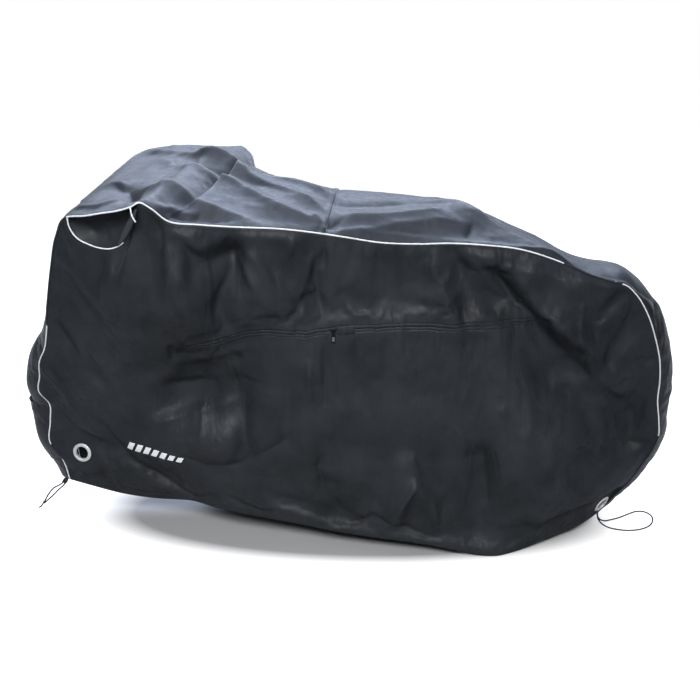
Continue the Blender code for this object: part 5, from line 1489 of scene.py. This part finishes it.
def hem_line(side):
    """A line on a side panel where its turned hem is sewn down, with its way out."""
    grid, normals = PANELS[side]["grid"], PANELS[side]["normals"]
    height = lengths_up(grid)
    path, outs = [], []
    for j in range(2, grid.shape[1] - 2):
        i = int(np.searchsorted(height[:, j], HEM_STITCHES_AT))
        i = min(max(i, 1), grid.shape[0] - 2)
        step = max(height[i, j] - height[i - 1, j], 1e-6)
        t = np.clip((HEM_STITCHES_AT - height[i - 1, j]) / step, 0, 1)
        path.append(grid[i - 1, j] * (1 - t) + grid[i, j] * t)
        outs.append(normals[i, j])
    outs = np.array(outs)
    return np.array(path) + outs * 0.0010, outs


def border_line(side):
    """A line on a side panel one row in from its sewn border, with its way out."""
    path, outs = (np.concatenate((grid[:-1, 1], grid[-2, 1:-1], grid[:-1, -2][::-1]))
                  for grid in (PANELS[side]["grid"], PANELS[side]["normals"]))
    return path + outs * STITCH_LIFT, outs


stitches = []
for side, label in SIDES:
    stitches.append(stitched(f"hem_stitches_{label}", *hem_line(side)))
    stitches.append(stitched(f"piping_stitches_{label}", *border_line(side)))
top, out, seam_row = (PANELS["top"][key] for key in ("grid", "out", "seam_row"))
for row, label in ((seam_row - 2, "front"), (seam_row - 1, "rear")):
    outs = out[row, 1:-1]
    stitches.append(stitched(f"cross_seam_stitches_{label}", top[row, 1:-1] + outs * STITCH_LIFT, outs))

# ------------------------------------------------------------------ hem cord
lock_turn = Matrix.Rotation(LOCK_TILT, 3, "Y")
strands = {}
for letter, route in STRAND_ROUTES.items():
    reach = LOCK_SIZE[2] / 2 + 0.0004
    straight = [tuple(Vector(LOCK_AT) + lock_turn @ Vector((STRAND_OFFSETS[letter], 0, -reach - more)))
                for more in (0, 0.0050)]
    strands[letter] = Line((*straight, *route))
strands["tail"] = Line(TAIL_ROUTE)
strands["rear"] = Line(LOOP_ROUTE)


def cord_piece(name, line):
    """A length of the elastic hem cord, and its path in the model's own frame."""
    points = line.share(np.linspace(0, 1, max(16, int(line.length / 0.004))))
    return tube(name, points, CORD_RADIUS, ELASTIC_CORD), points + SHIFT


cord_a, path_a = cord_piece("hem_cord_front_a", strands["a"])
cord_b, path_b = cord_piece("hem_cord_front_b", strands["b"])
cord_tail, _ = cord_piece("hem_cord_tail", strands["tail"])
cord_rear, path_rear = cord_piece("hem_cord_rear_loop", strands["rear"])


def cord_lock():
    """A moulded cord lock: a rounded barrel with a spring button on top."""
    bm = bmesh.new()
    w, d, h = LOCK_SIZE
    levels = ((-h / 2, 0.86), (-h / 2 + 0.0012, 1.0), (h * 0.18, 1.0), (h * 0.22, 0.94), (h * 0.24, 0.74),
              (h / 2 - 0.0016, 0.74), (h / 2, 0.60))
    rings = []
    for z, s in levels:
        ring = []
        for k in range(24):
            a = 2 * math.pi * k / 24
            x, y = (math.copysign(abs(c) ** 0.6, c) for c in (math.cos(a), math.sin(a)))
            ring.append(bm.verts.new((s * w / 2 * x, s * d / 2 * y, z)))
        rings.append(ring)
    for a, b in zip(rings, rings[1:]):
        for k in range(24):
            bm.faces.new((a[k], a[(k + 1) % 24], b[(k + 1) % 24], b[k]))
    bm.faces.new(rings[0])
    bm.faces.new(rings[-1])
    bmesh.ops.recalc_face_normals(bm, faces=bm.faces)
    matrix = Matrix.Translation(Vector(LOCK_AT) + Vector(SHIFT)) @ lock_turn.to_4x4()
    bmesh.ops.transform(bm, matrix=matrix, verts=bm.verts)
    return place("cord_lock_moulding", mesh_of(bm, "cord_lock_moulding"), ACETAL)


def knot():
    """An overhand knot in the two strands: three loops of cord drawn tight."""
    t, r = np.linspace(0, 2 * np.pi, 60), KNOT_SIZE
    points = np.stack((r * (np.sin(t) + 1.1 * np.sin(2 * t)) / 1.9,
                       r * (np.cos(t) - 1.1 * np.cos(2 * t)) / 1.9, r * 0.75 * -np.sin(3 * t)), axis=-1)
    return tube("hem_cord_knot", points + np.array(KNOT_AT), KNOT_CORD, ELASTIC_CORD)


lock, knot_piece = cord_lock(), knot()

# ------------------------------------------------------------------ what each piece stands for
STANDS_FOR = (
    (near_panel, "side_cloth", ("side_panel_near",)),
    (far_panel, "side_cloth", ("side_panel_far",)),
    (top_front, "top_cloth", ("top_panel_front",)),
    (top_rear, "top_cloth", ("top_panel_rear",)),
    (pipings[0], "piping", ("piping_near",)),
    (pipings[1], "piping", ("piping_far",)),
    (lip_piping, "piping", ("vent_piping",)),
    (stub, "piping", ("vent_stub",)),
    (back, "side_cloth", ("vent_back",)),
    (strip, "side_cloth", ("vent_facing",)),
    (welt_low, "zip_tape", ("zip_welt_lower",)),
    (welt_high, "zip_tape", ("zip_welt_upper",)),
    (dashes, "piping", ()),
    (rolled, "top_cloth", ()),
    (binding, "side_cloth", ()),
    (tape, "zip_tape", ()),
    (coil, "zip_tape", ()),
    (slider, "zip_metal", ("zip_slider",)),
    (bridge, "zip_metal", ()),
    (pull, "zip_metal", ("zip_pull",)),
    (plate, "zip_metal", ()),
    (end_tab, "zip_tape", ("zip_end_tab",)),
    (flap, "zip_tape", ("zip_garage",)),
    (cord_a, "cord", ("drawcord_front_a",)),
    (cord_b, "cord", ("drawcord_front_b",)),
    (cord_tail, "cord", ("drawcord_tail",)),
    (cord_rear, "cord", ("drawcord_rear",)),
    (knot_piece, "cord", ("drawcord_knot",)),
    (lock, "cord_lock", ("cord_lock",)),
    *EYELETS,
    *((piece, "side_cloth", ()) for piece in stitches),
)
for piece, slot, nodes in STANDS_FOR:
    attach(piece, BODY)
    if nodes:
        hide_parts(*nodes)


# ------------------------------------------------------------------ floor and light
def stage_plane():
    """The pale paper that the object stands on."""
    bm = bmesh.new()
    bmesh.ops.create_grid(bm, x_segments=2, y_segments=2, size=14)
    bmesh.ops.translate(bm, vec=(0, 0, GROUND - 0.0003), verts=bm.verts)
    # It is lit through from below where it is seen, so that it is even and near white.
    paint, tree, shader = finish("pale_floor", "#b4b4b4", 0.9)
    seen = node(tree, "ShaderNodeLightPath").outputs["Is Camera Ray"]
    # Under the object the glow is left off in an oval, a painted shadow: the paper there shows only the
    # lamps' real light and shade, so it reads darker.
    spot = node(tree, "ShaderNodeTexCoord").outputs["Object"]
    flat = node(tree, "ShaderNodeMapping", {"Vector": spot, "Location": (0.34, 0, 0),
                                            "Scale": (1.25, 4.2, 0)}).outputs["Vector"]
    away = node(tree, "ShaderNodeVectorMath", {0: flat}, operation="LENGTH").outputs["Value"]
    outside_painted_shadow = node(tree, "ShaderNodeMapRange", {"Value": away, "From Min": 0.85,
                                                   "From Max": 1.05}).outputs["Result"]
    lit = node(tree, "ShaderNodeMath", {0: seen, 1: outside_painted_shadow}, operation="MULTIPLY").outputs[0]
    glow = node(tree, "ShaderNodeMath", {0: lit, 1: 0.96}, operation="MULTIPLY").outputs[0]
    shader.inputs["Emission Color"].default_value = WHITE
    tree.links.new(glow, shader.inputs["Emission Strength"])
    return place("studio_floor", mesh_of(bm, "studio_floor", smooth=False), paint)


stage_plane()


def soft_light(name, spot, target, size, power, colour, spread=180):
    """A large lamp at spot that shines towards target."""
    light = bpy.data.lights.new(name, "AREA")
    light.shape = "RECTANGLE"
    light.size, light.size_y = size
    light.energy = power
    light.spread = math.radians(spread)
    light.color = linear(colour)[:3]
    lamp = bpy.data.objects.new(name, light)
    lamp.location = spot
    lamp.rotation_euler = (Vector(target) - Vector(spot)).to_track_quat("-Z", "Y").to_euler()
    bpy.context.scene.collection.objects.link(lamp)


soft_light("front_high", (-0.35, -2.7, 1.9), (-0.40, -0.3, -0.50), (1.6, 1.0), 20, "#fbfcff", spread=70)
soft_light("overhead", (-0.4, 0.3, 3.0), (-0.2, 0.0, 0.0), (2.6, 1.6), 62, "#deeaff")
soft_light("sky_behind", (-0.3, 2.6, 2.0), (-0.2, 0.0, 0.0), (4.5, 1.6), 170, "#d8e5ff")
world = bpy.data.worlds.new("studio")
world.use_nodes = True
sky = world.node_tree.nodes["Background"]
sky.inputs["Color"].default_value = linear("#f0f4fb")
sky.inputs["Strength"].default_value = 0.10
# The paper behind the object is white where it is seen, and lights the object only softly.
paper = node(world.node_tree, "ShaderNodeBackground", {"Color": (1, 1, 1, 1), "Strength": 1.0})
seen = node(world.node_tree, "ShaderNodeLightPath")
mixed = node(world.node_tree, "ShaderNodeMixShader", {"Fac": seen.outputs["Is Camera Ray"], 1: sky.outputs[0],
                                                      2: paper.outputs[0]})
world.node_tree.links.new(mixed.outputs[0], world.node_tree.nodes["World Output"].inputs["Surface"])
bpy.context.scene.world = world
bpy.context.scene.view_settings.view_transform = "Standard"
